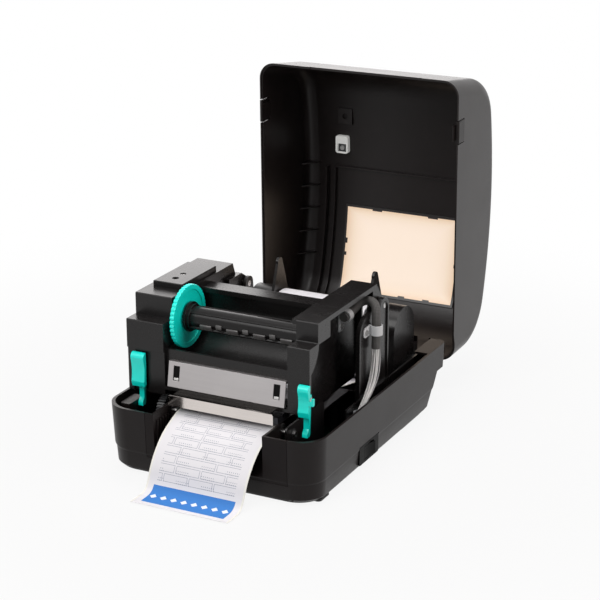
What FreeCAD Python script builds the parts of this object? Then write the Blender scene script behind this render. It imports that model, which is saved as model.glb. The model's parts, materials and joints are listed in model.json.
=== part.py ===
import FreeCAD, Part
import math
import os

# Desktop thermal-transfer label printer with its cover standing open.
# Millimetres, +Z up, the front faces -Y. The origin is on the floor under the middle of the base.

V = FreeCAD.Vector

# Casing
BODY_W = 229.6          # over the side walls
BODY_D = 314.0          # base, front to back
RIM_Z = 66.2            # base rim above the floor
COVER_TOP = 181.5       # closed cover above the floor
WALL = 2.5              # casing wall
FLOOR_T = 3.0           # casing floor
FOOT_H = 2.0            # feet below the casing
FRONT_R = 26.0          # upright corners at the base front
REAR_R = 8.0            # upright corners at the base back
STEP_Z = 22.0           # crease round the lower casing
STEP_IN = 0.8           # ledge at the crease
DRAFT = 1.6             # lean of the upper casing wall
UNDERCUT_Z = 39.0       # underside of the rear overhang
UNDERCUT_D = 21.6       # overhang depth
UNDERCUT_RUN = 23.1     # run of the sloping back below it

# Cover, stated closed
RIM_GAP = 0.5           # closed cover above the base rim
COVER_BACK = 7.5        # cover back wall in front of the base back
COVER_SIDE_R = 17.0     # round along the cover sides
COVER_FRONT_R = 50.0    # round between front and top
COVER_TOP_R = 450.0     # crown of the top
COVER_REAR_R = 60.0     # round between top and back
CREST_Y = -22.0         # highest line of the crown
COVER_LEAN = 9.5        # front wall leans back, degrees
REAR_LIFT = 2.8         # back rim raised to swing past the base
OPEN_ANGLE = 89.2       # cover opening
HINGE_IN = 10.25        # hinge axis in front of the base back
HINGE_Z = 36.0          # hinge axis above the floor
HINGE_PIN_R = 2.0
HINGE_BARREL_R = 6.0
ARM_X = 88.0            # middle of a hinge arm
ARM_W = 12.0
ARM_T = 4.0
ARM_H = 56.0            # arm above the hinge axis
LUG_T = 4.8             # hinge lug beside an arm

# Running and fitting clearances
RUN = 0.05              # shaft in its bearing, radial
FIT = 0.3               # fixed piece in its opening
SLIDE = 0.3             # sliding face
SIDE_PLAY = 0.5         # moving piece beside a wall

# Front panel and label scoop
PANEL_X0 = -66.3
PANEL_X1 = 85.4
PANEL_Z = 19.5          # lower edge
SCOOP_X0 = -57.0
SCOOP_X1 = 60.0
LIP_IN = 34.0           # scoop lip behind the front face
LIP_Z = 57.0

# Inner deck
DECK_IN = 17.8          # deck side walls inside the casing sides
DECK_T = 2.0
DECK_Z = 50.0           # label path level
WELL_Z = 32.0           # roll well floor
WELL_Y0 = 62.0
WELL_Y1 = 112.0
DECK_BACK = 136.0
DECK_RISE_Y = 20.0      # path plate ends, well slope begins
DECK_SIDE_Z = 60.0
DECK_PATH_X0 = -63.5
DECK_PATH_X1 = 65.5

# Platen and its drive
PLATEN_IN = 49.0        # platen axis behind the front face
PLATEN_Z = 52.0
PLATEN_R = 8.0
PLATEN_SHAFT_R = 3.0
PLATEN_L = 112.0
BUSH_R = 5.0
PLATE_X = 66.0          # outer face of the left steel plate, inner face of the right one
PLATE_T = 2.0
PLATE_TOP = 62.0
PLATE_D = 80.0
GEAR_M = 1.0            # gear module
GEAR_W = 7.0
MESH = 0.1              # added centre distance
PLATEN_TEETH = 28
IDLER_TEETH = 36
MOTOR_TEETH = 14
MOTOR_IN = 46.0         # motor axis behind the platen axis
MOTOR_Z = 28.0
MOTOR_SQ = 35.0
MOTOR_L = 30.0
MOTOR_SHAFT_R = 2.5
STUD_R = 2.5

# Label roll, guides and strip
ROLL_Y = 100.0
ROLL_Z = 75.0
ROLL_R = 40.0
ROLL_W = 104.0
CORE_R = 19.3
CORE_T = 1.8
HUB_GAP = 0.3           # roll core on its hubs
HUB_L = 7.0
GUIDE_GAP = 2.0         # guide beside the roll
FIN_T = 3.0
FIN_TOP = 150.0
HOOD_TOP = 114.0        # rounded guide body
HOOD_R = 26.0
HOOD_Y = 110.0
HOOD_X0 = 62.0
HOOD_X1 = 86.0
RACK_TEETH = 16         # guide pinion
GUIDE_TRAVEL = 7.0      # guides slide outward
STRIP_W = 104.0
STRIP_T = 0.25
STRIP_X = 2.0           # middle of the strip

# Print module
MODULE_X0 = -108.0
MODULE_X1 = 90.0
GEARBOX_X1 = -67.0
CHEEK_X = 67.0
CHEEK_T = 3.0
CHEEK_Z0 = 64.0         # lower edge of the cheek, over the steel plates
CHEEK_FLANGE = 8.0
TOWER_IN = 39.0         # tower front behind the base front
TOWER_STEP = 18.0       # upper block behind the lower block
LOWER_Z0 = 114.0
LOWER_Z1 = 143.0
UPPER_Z = 164.5
TOWER_Z0 = 70.0
FRAME_Z0 = 76.0
ARM_TOP_T = 5.0
PIVOT_Y = 40.0
PIVOT_Z = 139.0
PIVOT_R = 3.0
EAR_R = 7.5
LID_H = 6.0
REWIND_Y = -80.0
REWIND_Z = 141.0
WHEEL_R = 31.5
WHEEL_X0 = -63.5
WHEEL_T = 4.5
WHEEL_LOBES = 44
SPINDLE_R = 11.0
SPINDLE_RIB = 1.4
JOURNAL_R = 4.0
SUPPLY_Y = -15.0
SUPPLY_Z = 98.0
TROUGH_R = 38.0
TROUGH_T = 2.5
CROSS_Z = 158.0
CROSS_Y1 = -21.0
BEAM_Z0 = 76.6
BEAM_Z1 = 80.0
REWIND_TEETH = 30
RIBBON_IDLER_TEETH = 38
RIBBON_MOTOR_TEETH = 12
RIBBON_MOTOR_Y = -30.0
RIBBON_MOTOR_Z = 115.0
RIBBON_MOTOR_R = 14.0
RIBBON_GEAR_X0 = -98.0
RIBBON_GEAR_W = 6.0
RIBBON_SHAFT_R = 1.5

# Head, plate and tear bar
HEAD_GAP = 0.35         # head above the strip
HEAD_H = 8.0
PLATE_TOP_Z = 107.0
PLATE_LOW_Z = 82.0
HEAD_PLATE_X0 = -61.5
HEAD_PLATE_X1 = 65.0
SHEET_T = 1.2
BAR_X = 57.0
BAR_Z0 = 65.5
BAR_Z1 = 76.5
BAR_IN = 29.5           # tear bar behind the base front

# Release levers
LEVER_X = (-94.0, 85.5)
LEVER_W = (14.5, 11.0)
LEVER_TOP = (111.0, 108.0)
LEVER_PIN_IN = 44.0     # lever pin behind the base front
LEVER_PIN_Z = 92.0
LEVER_PIN_R = 2.0
LEVER_TIP = 55.0
LEVER_SHANK = 5.5

# Harness
SLEEVE_R = 4.5
WIRE_R = 0.8
UPRIGHT_X = 92.0
UPRIGHT_T = 3.0
LEFT_UPRIGHT_X = -61.2
LEFT_UPRIGHT_T = 3.5
SLEEVE_ROUTE = [
    (77, -18, 141), (77, 0, 141), (82, 14, 150.5), (97, 12, 151.5), (101.5, 6.5, 138), (101.5, 5, 106)]
CLIP_T = 1.4
CLIP_Z = 125.0          # base clip above the floor
CLIP_Y = 5.9            # sleeve at the base clip
CLIP_SCREW = 13.0       # its screw in front of the sleeve
CLIP_IN = 7.0           # module clip behind the sleeve end
CLIP_DROP = 12.0        # its screw below the sleeve
WIRE_ENDS = [(-2.4, 0), (-1.2, 2), (0, -2), (1.2, 1.2), (2.6, -0.6), (0.2, 0.4)]
GROMMET_OUT = 6.5       # grommet outside the deck side wall
GROMMET_Y = -36.0
GROMMET_R = 6.4
GROMMET_NECK = 4.4

# Power switch
SWITCH_Y = -34.0
SWITCH_Z = 15.5
SWITCH_L = 21.0
SWITCH_H = 13.8
BEZEL_L = 44.2
BEZEL_H = 19.7
ROCKER_TILT = 8.0

# Derived places
HALF_W = BODY_W / 2
DECK_X = HALF_W - DECK_IN
GROMMET_X = DECK_X + GROMMET_OUT
FRONT_Y = -BODY_D / 2
BACK_Y = BODY_D / 2
FLOOR_Z = FOOT_H + FLOOR_T
COVER_RIM = RIM_Z + RIM_GAP
COVER_REAR_Y = BACK_Y - COVER_BACK
HINGE_Y = BACK_Y - HINGE_IN
TOWER_Y = FRONT_Y + TOWER_IN
STEP_Y = TOWER_Y + TOWER_STEP
PLATEN_Y = FRONT_Y + PLATEN_IN
MOTOR_Y = PLATEN_Y + MOTOR_IN
HEAD_X = PLATEN_L / 2
LEVER_PIN_Y = FRONT_Y + LEVER_PIN_IN
STRIP_Z = PLATEN_Z + PLATEN_R + 0.1
BAR_Y = FRONT_Y + BAR_IN
GUIDE_X = ROLL_W / 2 + GUIDE_GAP
RACK_Y = ROLL_Y + GEAR_M * RACK_TEETH / 2 + MESH
LEG_Y = (RACK_Y - 2.6, RACK_Y + 3.4)


def box(x0, x1, y0, y1, z0, z1):
    return Part.makeBox(x1 - x0, y1 - y0, z1 - z0, V(x0, y0, z0))


def rod_x(y, z, r, x0, x1):
    return Part.makeCylinder(r, x1 - x0, V(x0, y, z), V(1, 0, 0))


def rod_y(x, z, r, y0, y1):
    return Part.makeCylinder(r, y1 - y0, V(x, y0, z), V(0, 1, 0))


def rod_z(x, y, r, z0, z1):
    return Part.makeCylinder(r, z1 - z0, V(x, y, z0))


def ring_x(y, z, r_out, r_in, x0, x1):
    return rod_x(y, z, r_out, x0, x1).cut(rod_x(y, z, r_in, x0 - 1, x1 + 1))


def join(*shapes):
    return shapes[0].multiFuse(list(shapes[1:])).removeSplitter()


def outline(points, place):
    """Closed wire. A point is a pair, or two pairs for an arc through the first to the second."""
    edges = []
    last = points[0]
    for point in points[1:] + [points[0]]:
        if isinstance(point[0], tuple):
            middle, end = point
            edges.append(Part.Arc(place(*last), place(*middle), place(*end)).toShape())
            last = end
        elif point != last:
            edges.append(Part.LineSegment(place(*last), place(*point)).toShape())
            last = point
    return Part.Wire(edges)


def prism_x(points, x0, x1):
    wire = outline(points, lambda y, z: V(x0, y, z))
    return Part.Face(wire).extrude(V(x1 - x0, 0, 0))


def prism_z(points, z0, z1):
    wire = outline(points, lambda x, y: V(x, y, z0))
    return Part.Face(wire).extrude(V(0, 0, z1 - z0))


def rounded(shape, radius, picks):
    """Fillet the edges that the test picks."""
    edges = [edge for edge in shape.Edges if picks(edge)]
    return shape.makeFillet(radius, edges)


def along(edge, axis):
    """True for a straight edge that runs along one axis, 0 for X, 1 for Y, 2 for Z."""
    a, b = edge.Vertexes[0].Point, edge.Vertexes[-1].Point
    still = all(abs(a[i] - b[i]) < 1e-6 for i in range(3) if i != axis)
    return still and edge.Curve.TypeId == "Part::GeomLine"


def mirror_x(shape):
    return shape.mirror(V(0, 0, 0), V(1, 0, 0))


# Gears

def gear_points(teeth, phase):
    """Tooth outline round the origin, one tooth centred on the phase angle."""
    pitch = GEAR_M * teeth / 2
    tip, root = pitch + 0.8 * GEAR_M, pitch - 1.1 * GEAR_M
    step = 2 * math.pi / teeth
    points = []
    for k in range(teeth):
        for radius, share in ((root, -0.30), (tip, -0.11), (tip, 0.11), (root, 0.30)):
            angle = phase + (k + share) * step
            points.append((radius * math.cos(angle), radius * math.sin(angle)))
    return points


def gear_x(y, z, teeth, phase, x0, width, bore):
    points = [(y + a, z + b) for a, b in gear_points(teeth, phase)]
    return prism_x(points, x0, x0 + width).cut(rod_x(y, z, bore, x0 - 1, x0 + width + 1))


def mesh_phase(phase, teeth, other_teeth, here, there):
    """Phase of a gear that meshes with one at the given phase."""
    line = math.atan2(there[1] - here[1], there[0] - here[0])
    return line + math.pi - (phase - line) * teeth / other_teeth + math.pi / other_teeth


def idler_place(first, first_teeth, last, last_teeth, teeth):
    """Axis of a gear that meshes with two others, on the lower side of their line."""
    reach_a = GEAR_M * (first_teeth + teeth) / 2 + MESH
    reach_b = GEAR_M * (last_teeth + teeth) / 2 + MESH
    dy, dz = last[0] - first[0], last[1] - first[1]
    span = math.hypot(dy, dz)
    run = (reach_a ** 2 - reach_b ** 2 + span ** 2) / (2 * span)
    drop = math.sqrt(reach_a ** 2 - run ** 2)
    side = 1 if dy > 0 else -1
    return (first[0] + (run * dy + side * drop * dz) / span, first[1] + (run * dz - side * drop * dy) / span)


PLATEN_AXIS = (PLATEN_Y, PLATEN_Z)
MOTOR_AXIS = (MOTOR_Y, MOTOR_Z)
IDLER_AXIS = idler_place(MOTOR_AXIS, MOTOR_TEETH, PLATEN_AXIS, PLATEN_TEETH, IDLER_TEETH)
REWIND_AXIS = (REWIND_Y, REWIND_Z)
RIBBON_AXIS = (RIBBON_MOTOR_Y, RIBBON_MOTOR_Z)
RIBBON_IDLER_AXIS = idler_place(REWIND_AXIS, REWIND_TEETH, RIBBON_AXIS, RIBBON_MOTOR_TEETH,
    RIBBON_IDLER_TEETH)
IDLER_PHASE = mesh_phase(0, PLATEN_TEETH, IDLER_TEETH, PLATEN_AXIS, IDLER_AXIS)
MOTOR_PHASE = mesh_phase(IDLER_PHASE, IDLER_TEETH, MOTOR_TEETH, IDLER_AXIS, MOTOR_AXIS)
RIBBON_IDLER_PHASE = mesh_phase(0, REWIND_TEETH, RIBBON_IDLER_TEETH, REWIND_AXIS, RIBBON_IDLER_AXIS)
RIBBON_PHASE = mesh_phase(
    RIBBON_IDLER_PHASE, RIBBON_IDLER_TEETH, RIBBON_MOTOR_TEETH, RIBBON_IDLER_AXIS, RIBBON_AXIS)
DRIVE_X1 = -PLATE_X - 2.0


# Base casing

def plan_wire(z, side, front):
    """Plan outline of the base, drawn in from the side walls and the front."""
    x, y0, y1 = HALF_W - side, FRONT_Y + front, BACK_Y - side * 0.2
    f, r = FRONT_R, REAR_R
    q = 1 - math.sqrt(0.5)
    points = [
        (f - x, y0), (x - f, y0), ((x - f * q, y0 + f * q), (x, y0 + f)),
        (x, y1 - r), ((x - r * q, y1 - r * q), (x - r, y1)),
        (r - x, y1), ((r * q - x, y1 - r * q), (-x, y1 - r)),
        (-x, y0 + f), ((f * q - x, y0 + f * q), (f - x, y0)),
    ]
    return outline(points, lambda a, b: V(a, b, z))


def undercut(shift):
    """Wedge below the rear overhang, moved into the casing by the shift."""
    back, top = BACK_Y - UNDERCUT_D, UNDERCUT_Z
    slope = math.hypot(UNDERCUT_RUN, top - FOOT_H) / (top - FOOT_H)
    low = top + 20
    points = [
        (BACK_Y + 40, top + shift),
        (back - shift * slope + shift * UNDERCUT_RUN / (top - FOOT_H), top + shift),
        (back - shift * slope - low * UNDERCUT_RUN / (top - FOOT_H), top - low),
        (BACK_Y + 40, top - low),
    ]
    return prism_x(points, -HALF_W - 5, HALF_W + 5)


def base_outer():
    lower = Part.makeLoft([
        plan_wire(FOOT_H, 2 * DRAFT + 3.0, 2 * DRAFT + 3.5),
        plan_wire(FOOT_H + 4, DRAFT + STEP_IN + 0.9, DRAFT + STEP_IN + 1.2),
        plan_wire(STEP_Z, DRAFT + STEP_IN, DRAFT + STEP_IN + 0.4)], True, True)
    upper = Part.makeLoft([
        plan_wire(STEP_Z, DRAFT + 0.6, DRAFT + 0.8),
        plan_wire(STEP_Z + 2.5, DRAFT - 0.1, DRAFT),
        plan_wire(RIM_Z, 0, 0)], True, True)
    return join(lower, upper).cut(undercut(0))


def base_cavity():
    inner = Part.makeLoft([
        plan_wire(FLOOR_Z, 2 * DRAFT + STEP_IN + WALL, 2 * DRAFT + STEP_IN + WALL),
        plan_wire(STEP_Z + 2, DRAFT + STEP_IN + WALL, DRAFT + STEP_IN + WALL),
        plan_wire(RIM_Z + 1, WALL, WALL)], True, True)
    return inner.cut(undercut(WALL))


def hinge_lug(x0):
    y, z = HINGE_Y, HINGE_Z
    r = HINGE_BARREL_R + 2
    points = [
        (BACK_Y - WALL / 2, z + 4), (BACK_Y - WALL / 2, z + 24), (y - r, z + 24),
        (y - r, z), ((y, z - r), (y + r, z)),
    ]
    return prism_x(points, x0, x0 + LUG_T).cut(rod_x(y, z, HINGE_PIN_R + RUN, x0 - 1, x0 + LUG_T + 1))


ARM_SLOT = ARM_W / 2 + SIDE_PLAY
IO_X = 62.0             # rear socket niche, half width
IO_Y = BACK_Y - 49.0    # its face
IO_Z = 22.5             # its roof
IO_T = 2.0
SOCKET_Z = (7.0, 19.0)
INLET_X = -34.0
DATA_X = 17.0
SOCKET_HALF = 7.0
SCREW_R = 1.5           # common machine screw
SCREW_HEAD_R = 2.8
SCREW_HEAD_H = 1.6
SCREW_L = 5.5
POSTS = [(-85.0, 70.0, WELL_Z), (85.0, 70.0, WELL_Z), (-52.0, 0.0, DECK_Z), (58.0, 0.0, DECK_Z)]


def socket_niche():
    """Face, roof and cheeks of the niche for the rear sockets."""
    face = box(-IO_X - 1, IO_X + 1, IO_Y, IO_Y + IO_T, FLOOR_Z - 1, IO_Z)
    roof = box(-IO_X - 1, IO_X + 1, IO_Y, IO_Y + 24, IO_Z - IO_T, IO_Z)
    cheek = box(IO_X, IO_X + IO_T, IO_Y, IO_Y + 24, FLOOR_Z - 1, IO_Z)
    cuts = []
    for x in (INLET_X, DATA_X):
        cuts.append(box(x - SOCKET_HALF, x + SOCKET_HALF, IO_Y - 1, IO_Y + IO_T + 1, *SOCKET_Z))
    return join(face, roof, cheek, mirror_x(cheek)).cut(Part.makeCompound(cuts)).cut(undercut(0))


def latch_block():
    """Hollow block in the front left corner, beside the left release lever."""
    x0, x1 = -108.0, LEVER_X[0] - LEVER_SHANK / 2 - SIDE_PLAY
    y0, y1 = FRONT_Y + 23, FRONT_Y + 49
    block = rounded(box(x0, x1, y0, y1, FLOOR_Z - 1, RIM_Z - 5), 2, lambda e: along(e, 2))
    return block.cut(box(x0 + WALL, x1 - WALL, y0 + WALL, y1 - WALL, FLOOR_Z, RIM_Z - 5 - WALL))


def base_tray():
    outer = base_outer()
    ledge_x = HALF_W - WALL - 15.0
    ledge = box(ledge_x, HALF_W - 1, BACK_Y - 45, BACK_Y - 1, RIM_Z - WALL, RIM_Z)
    tray = outer.cut(base_cavity())
    lugs = [hinge_lug(ARM_X - ARM_SLOT - LUG_T), hinge_lug(ARM_X + ARM_SLOT)]
    lugs += [mirror_x(lug) for lug in lugs]
    tray = join(tray, ledge.common(outer), mirror_x(ledge).common(outer), latch_block(), *lugs)
    panel = box(PANEL_X0 - FIT, PANEL_X1 + FIT, FRONT_Y - 2, FRONT_Y + 20, PANEL_Z - FIT, RIM_Z + 1)
    arm = box(ARM_X - ARM_SLOT, ARM_X + ARM_SLOT, HINGE_Y - 9, BACK_Y + 2, HINGE_Z - 9, RIM_Z + 2)
    bezel = box(
        HALF_W - 12, HALF_W + 2, SWITCH_Y - BEZEL_L / 2 - FIT, SWITCH_Y + BEZEL_L / 2 + FIT,
        SWITCH_Z - BEZEL_H / 2 - FIT, SWITCH_Z + BEZEL_H / 2 + FIT)
    sockets = box(-IO_X, IO_X, IO_Y + IO_T, BACK_Y, FLOOR_Z, IO_Z - IO_T)
    holes = []
    for x, y, z in POSTS:
        holes.append(rod_z(x, y, SCREW_R + FIT, 0, FLOOR_Z + 1))
        holes.append(rod_z(x, y, SCREW_HEAD_R + FIT, 0, FOOT_H + SCREW_HEAD_H + 0.2))
    vents = [box(-34 + 12 * k, -30 + 12 * k, -48, -12, 0, FLOOR_Z + 1) for k in range(6)]
    tray = tray.cut(Part.makeCompound([panel, arm, mirror_x(arm), bezel, sockets] + holes + vents))
    return join(tray, socket_niche())


def scoop_points(shift):
    """Side view of the label scoop, moved into the panel by the shift."""
    lip, front = FRONT_Y + LIP_IN, FRONT_Y - 2
    return [
        (front, PANEL_Z + 3 - shift),
        ((FRONT_Y + 23 + shift * 0.7, PANEL_Z + 17.5 - shift * 0.7), (lip + shift, LIP_Z - shift * 0.3)),
    ]


def front_panel():
    plug = base_outer().common(box(PANEL_X0, PANEL_X1, FRONT_Y - 2, FRONT_Y + 16, PANEL_Z, RIM_Z))
    skin = plug.cut(base_cavity())
    lip = FRONT_Y + LIP_IN
    block = prism_x(
        scoop_points(WALL) + [(lip + WALL, LIP_Z), (lip, LIP_Z), (lip, RIM_Z), (FRONT_Y - 2, RIM_Z)],
        SCOOP_X0 - WALL, SCOOP_X1 + WALL)
    room = base_outer().fuse(box(PANEL_X0, PANEL_X1, FRONT_Y + 8, lip + 10, PANEL_Z, RIM_Z))
    block = block.common(room).common(box(PANEL_X0, PANEL_X1, FRONT_Y - 2, lip + 10, PANEL_Z, RIM_Z))
    scoop = prism_x(scoop_points(0) + [(lip, RIM_Z + 5), (FRONT_Y - 2, RIM_Z + 5)], SCOOP_X0, SCOOP_X1)
    ribs = [box(SCOOP_X0 - 0.5, SCOOP_X0 + 1.5, FRONT_Y + 6 + 5 * k, FRONT_Y + 8 + 5 * k,
        PANEL_Z + 12 + 5 * k, 58)
            for k in range(5)]
    panel = skin.fuse(block).cut(scoop)
    return join(panel, *[rib.common(scoop.fuse(block)) for rib in ribs])


def feet():
    pads = []
    for x in (-100, 100):
        pads.append(rounded(box(x - 7, x + 7, 56, 108, 0, FOOT_H), 4, lambda e: along(e, 2)))
        pads.append(rounded(box(x - 9, x + 9, -134, -112, 0, FOOT_H), 4, lambda e: along(e, 2)))
    return Part.makeCompound(pads)


# Power switch

def switch_bezel():
    x1 = HALF_W - DRAFT
    plate = box(x1 - 3, x1, SWITCH_Y - BEZEL_L / 2, SWITCH_Y + BEZEL_L / 2,
                SWITCH_Z - BEZEL_H / 2, SWITCH_Z + BEZEL_H / 2)
    plate = rounded(plate, 2, lambda e: along(e, 0))
    return plate.cut(box(x1 - 4, x1 + 1, SWITCH_Y - SWITCH_L / 2, SWITCH_Y + SWITCH_L / 2,
                         SWITCH_Z - SWITCH_H / 2, SWITCH_Z + SWITCH_H / 2))


def switch_body():
    x1 = HALF_W - DRAFT - 3
    y0, y1 = SWITCH_Y - SWITCH_L / 2 - 1, SWITCH_Y + SWITCH_L / 2 + 1
    z0, z1 = SWITCH_Z - SWITCH_H / 2 - 1, SWITCH_Z + SWITCH_H / 2 + 1
    body = box(x1 - 16, x1, y0, y1, z0, z1)
    body = body.cut(box(x1 - 7, x1 + 1, y0 + 1.5, y1 - 1.5, z0 + 1, z1 - 1))
    blades = [box(x1 - 23, x1 - 15, y - 0.4, y + 0.4, SWITCH_Z - 2.4, SWITCH_Z + 2.4)
              for y in (SWITCH_Y - 6, SWITCH_Y, SWITCH_Y + 6)]
    return join(body, *blades)


def power_rocker():
    x1 = HALF_W - DRAFT
    half = SWITCH_L / 2 - 0.8
    points = [(x1 - 3.4, SWITCH_Y - half), (x1 + 1.2, SWITCH_Y - half), (x1 - 0.1, SWITCH_Y),
              (x1 + 1.2, SWITCH_Y + half), (x1 - 3.4, SWITCH_Y + half)]
    key = prism_z(points, SWITCH_Z - SWITCH_H / 2 + SIDE_PLAY, SWITCH_Z + SWITCH_H / 2 - SIDE_PLAY)
    pins = rod_z(x1 - 2.6, SWITCH_Y, 1.2, SWITCH_Z - SWITCH_H / 2 - 0.3 + RUN,
        SWITCH_Z + SWITCH_H / 2 + 0.3 - RUN)
    key = join(key, pins.common(box(x1 - 9, x1 - 1, SWITCH_Y - 3, SWITCH_Y + 3, SWITCH_Z - SWITCH_H / 2,
        SWITCH_Z + SWITCH_H / 2)))
    key.rotate(V(x1 - 2.6, SWITCH_Y, SWITCH_Z), V(0, 0, 1), -ROCKER_TILT)
    return key


# Rear sockets

def power_inlet():
    half, (z0, z1) = SOCKET_HALF - 0.2, SOCKET_Z
    middle = (z0 + z1) / 2
    body = box(INLET_X - half, INLET_X + half, IO_Y - 11, IO_Y + IO_T + 1, z0 + 0.2, z1 - 0.2)
    bore = rod_y(INLET_X, middle, 3.3, IO_Y - 8, IO_Y + IO_T + 2)
    return join(body.cut(bore), rod_y(INLET_X, middle, 1.0, IO_Y - 9, IO_Y + IO_T))


def data_socket():
    half, (z0, z1) = SOCKET_HALF - 0.2, SOCKET_Z
    body = box(DATA_X - half, DATA_X + half, IO_Y - 14, IO_Y + IO_T + 1, z0 + 0.2, z1 - 0.2)
    mouth = box(DATA_X - 4.5, DATA_X + 4.5, IO_Y - 10, IO_Y + IO_T + 2, z0 + 2, z1 - 2)
    tongue = box(DATA_X - 2.5, DATA_X + 2.5, IO_Y - 11, IO_Y + IO_T - 1, z0 + 4.5, z1 - 4.5)
    return join(body.cut(mouth), tongue)


# Deck, plates and electronics

def deck_points():
    lower = [(DECK_BACK, DECK_Z), (DECK_BACK - 2, DECK_Z - 2), (WELL_Y1, WELL_Z), (WELL_Y0, WELL_Z),
        (DECK_RISE_Y, DECK_Z)]
    under = [(y, z - DECK_T) for y, z in reversed(lower)]
    return lower, under


def guide_slots():
    """Slots in the well floor for the legs of the two guides."""
    slot = box(GUIDE_X - 1, GUIDE_X + FIN_T + GUIDE_TRAVEL + 1, LEG_Y[0] - 0.5, LEG_Y[1] + 0.4,
        WELL_Z - 5, WELL_Z + 1)
    other = slot.copy()
    other.rotate(V(0, ROLL_Y, 0), V(0, 0, 1), 180)
    return Part.makeCompound([slot, other])


def left_upright():
    """Plate of the deck that carries the left end of the print module."""
    x0, x1 = LEFT_UPRIGHT_X, LEFT_UPRIGHT_X + LEFT_UPRIGHT_T
    plate = prism_x([
        (-6, DECK_Z - 0.5), (DECK_RISE_Y, DECK_Z - 0.5), (PIVOT_Y + 12, 100), (PIVOT_Y + 8, PIVOT_Z),
        ((PIVOT_Y, PIVOT_Z + 8), (PIVOT_Y - 8, PIVOT_Z)), (24, 104)], x0, x1)
    foot = box(x0, x0 + 10, -6, 18, DECK_Z - 0.5, DECK_Z + 2)
    return join(plate, foot).cut(rod_x(PIVOT_Y, PIVOT_Z, PIVOT_R, x0 - 1, x1 + 1))


def inner_deck():
    top, under = deck_points()
    well = prism_x(top + under, -DECK_X, DECK_X)
    path = box(DECK_PATH_X0, DECK_PATH_X1, PLATEN_Y + 10, DECK_RISE_Y + 1, DECK_Z - DECK_T, DECK_Z)
    wall = box(DECK_X - DECK_T, DECK_X, -52, DECK_BACK, DECK_SIDE_Z - 14, DECK_SIDE_Z)
    skirt = prism_x(top + [(DECK_RISE_Y, DECK_SIDE_Z), (DECK_BACK, DECK_SIDE_Z)], DECK_X - DECK_T, DECK_X)
    shelf = box(DECK_X - DECK_T, GROMMET_X + GROMMET_R + 0.6, GROMMET_Y - 16, GROMMET_Y + 16, DECK_Z,
        DECK_Z + DECK_T)
    posts = [rod_z(x, y, 4, FLOOR_Z, z - 1) for x, y, z in POSTS]
    stud = rod_z(0, ROLL_Y, STUD_R, WELL_Z - 9, WELL_Z - 1)
    deck = join(well, path, wall, mirror_x(wall), skirt, mirror_x(skirt), shelf, stud, left_upright(), *posts)
    cuts = [rod_z(GROMMET_X, GROMMET_Y, GROMMET_NECK + FIT, DECK_Z - 1, DECK_Z + DECK_T + 1), guide_slots()]
    for x, y, z in POSTS:
        cuts.append(rod_z(x, y, SCREW_R + RUN, FLOOR_Z - 1, FLOOR_Z + SCREW_L))
    return deck.cut(Part.makeCompound(cuts))


def side_plate(x0):
    plate = box(x0, x0 + PLATE_T, TOWER_Y - 4, TOWER_Y - 4 + PLATE_D, FLOOR_Z, PLATE_TOP)
    plate = rounded(plate, 4, lambda e: along(e, 0))
    return plate.cut(rod_x(PLATEN_Y, PLATEN_Z, BUSH_R, x0 - 1, x0 + PLATE_T + 1))


def left_plate():
    plate = side_plate(-PLATE_X)
    plate = plate.cut(rod_x(MOTOR_Y, MOTOR_Z, MOTOR_SHAFT_R + 3, -PLATE_X - 1, -PLATE_X + PLATE_T + 1))
    stud = rod_x(*IDLER_AXIS, STUD_R, DRIVE_X1 - GEAR_W - 1.5, -PLATE_X + PLATE_T / 2)
    return join(plate, stud)


def right_plate():
    return side_plate(PLATE_X)


def platen_bushes():
    rings = []
    for x0 in (-PLATE_X, PLATE_X):
        rings.append(ring_x(PLATEN_Y, PLATEN_Z, BUSH_R, PLATEN_SHAFT_R + RUN, x0 - 0.5, x0 + PLATE_T + 0.5))
    return Part.makeCompound(rings)


def platen_roller():
    return ring_x(PLATEN_Y, PLATEN_Z, PLATEN_R, PLATEN_SHAFT_R, -PLATEN_L / 2, PLATEN_L / 2)


def platen_shaft():
    return rod_x(PLATEN_Y, PLATEN_Z, PLATEN_SHAFT_R, DRIVE_X1 - GEAR_W - 1, PLATE_X + PLATE_T + 3)


def platen_gear():
    return gear_x(*PLATEN_AXIS, PLATEN_TEETH, 0, DRIVE_X1 - GEAR_W, GEAR_W, PLATEN_SHAFT_R)


def drive_idler():
    return gear_x(*IDLER_AXIS, IDLER_TEETH, IDLER_PHASE, DRIVE_X1 - GEAR_W, GEAR_W, STUD_R + RUN)


def drive_motor():
    x0 = -PLATE_X + PLATE_T
    half = MOTOR_SQ / 2
    case = box(x0, x0 + MOTOR_L, MOTOR_Y - half, MOTOR_Y + half, MOTOR_Z - half, MOTOR_Z + half)
    case = rounded(case, 4, lambda e: along(e, 0))
    return case.cut(rod_x(MOTOR_Y, MOTOR_Z, MOTOR_SHAFT_R + RUN, x0 - 1, x0 + MOTOR_L - 6))


def drive_pinion():
    x0 = -PLATE_X + PLATE_T
    shaft = rod_x(MOTOR_Y, MOTOR_Z, MOTOR_SHAFT_R, DRIVE_X1 - GEAR_W - 1, x0 + MOTOR_L - 7)
    pinion = gear_x(*MOTOR_AXIS, MOTOR_TEETH, MOTOR_PHASE, DRIVE_X1 - GEAR_W, GEAR_W, MOTOR_SHAFT_R - 0.5)
    return join(shaft, pinion)


def main_board():
    board = box(-18, 60, -95, 8, 10, 11.6)
    parts = [box(0, 14, -60, -46, 11, 15), box(30, 52, -90, -82, 11, 20), box(-10, 20, -10, 0, 11, 19),
             rod_z(42, -20, 6, 11, 27), rod_z(28, -20, 6, 11, 27), box(24, 40, -66, -50, 11, 14)]
    posts = [rod_z(x, y, 3, FLOOR_Z, 10.5) for x in (-14, 46) for y in (-91, 4)]
    return join(board, *parts, *posts).cut(rod_z(*POSTS[3][:2], 4.5, 9, 12))


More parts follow.
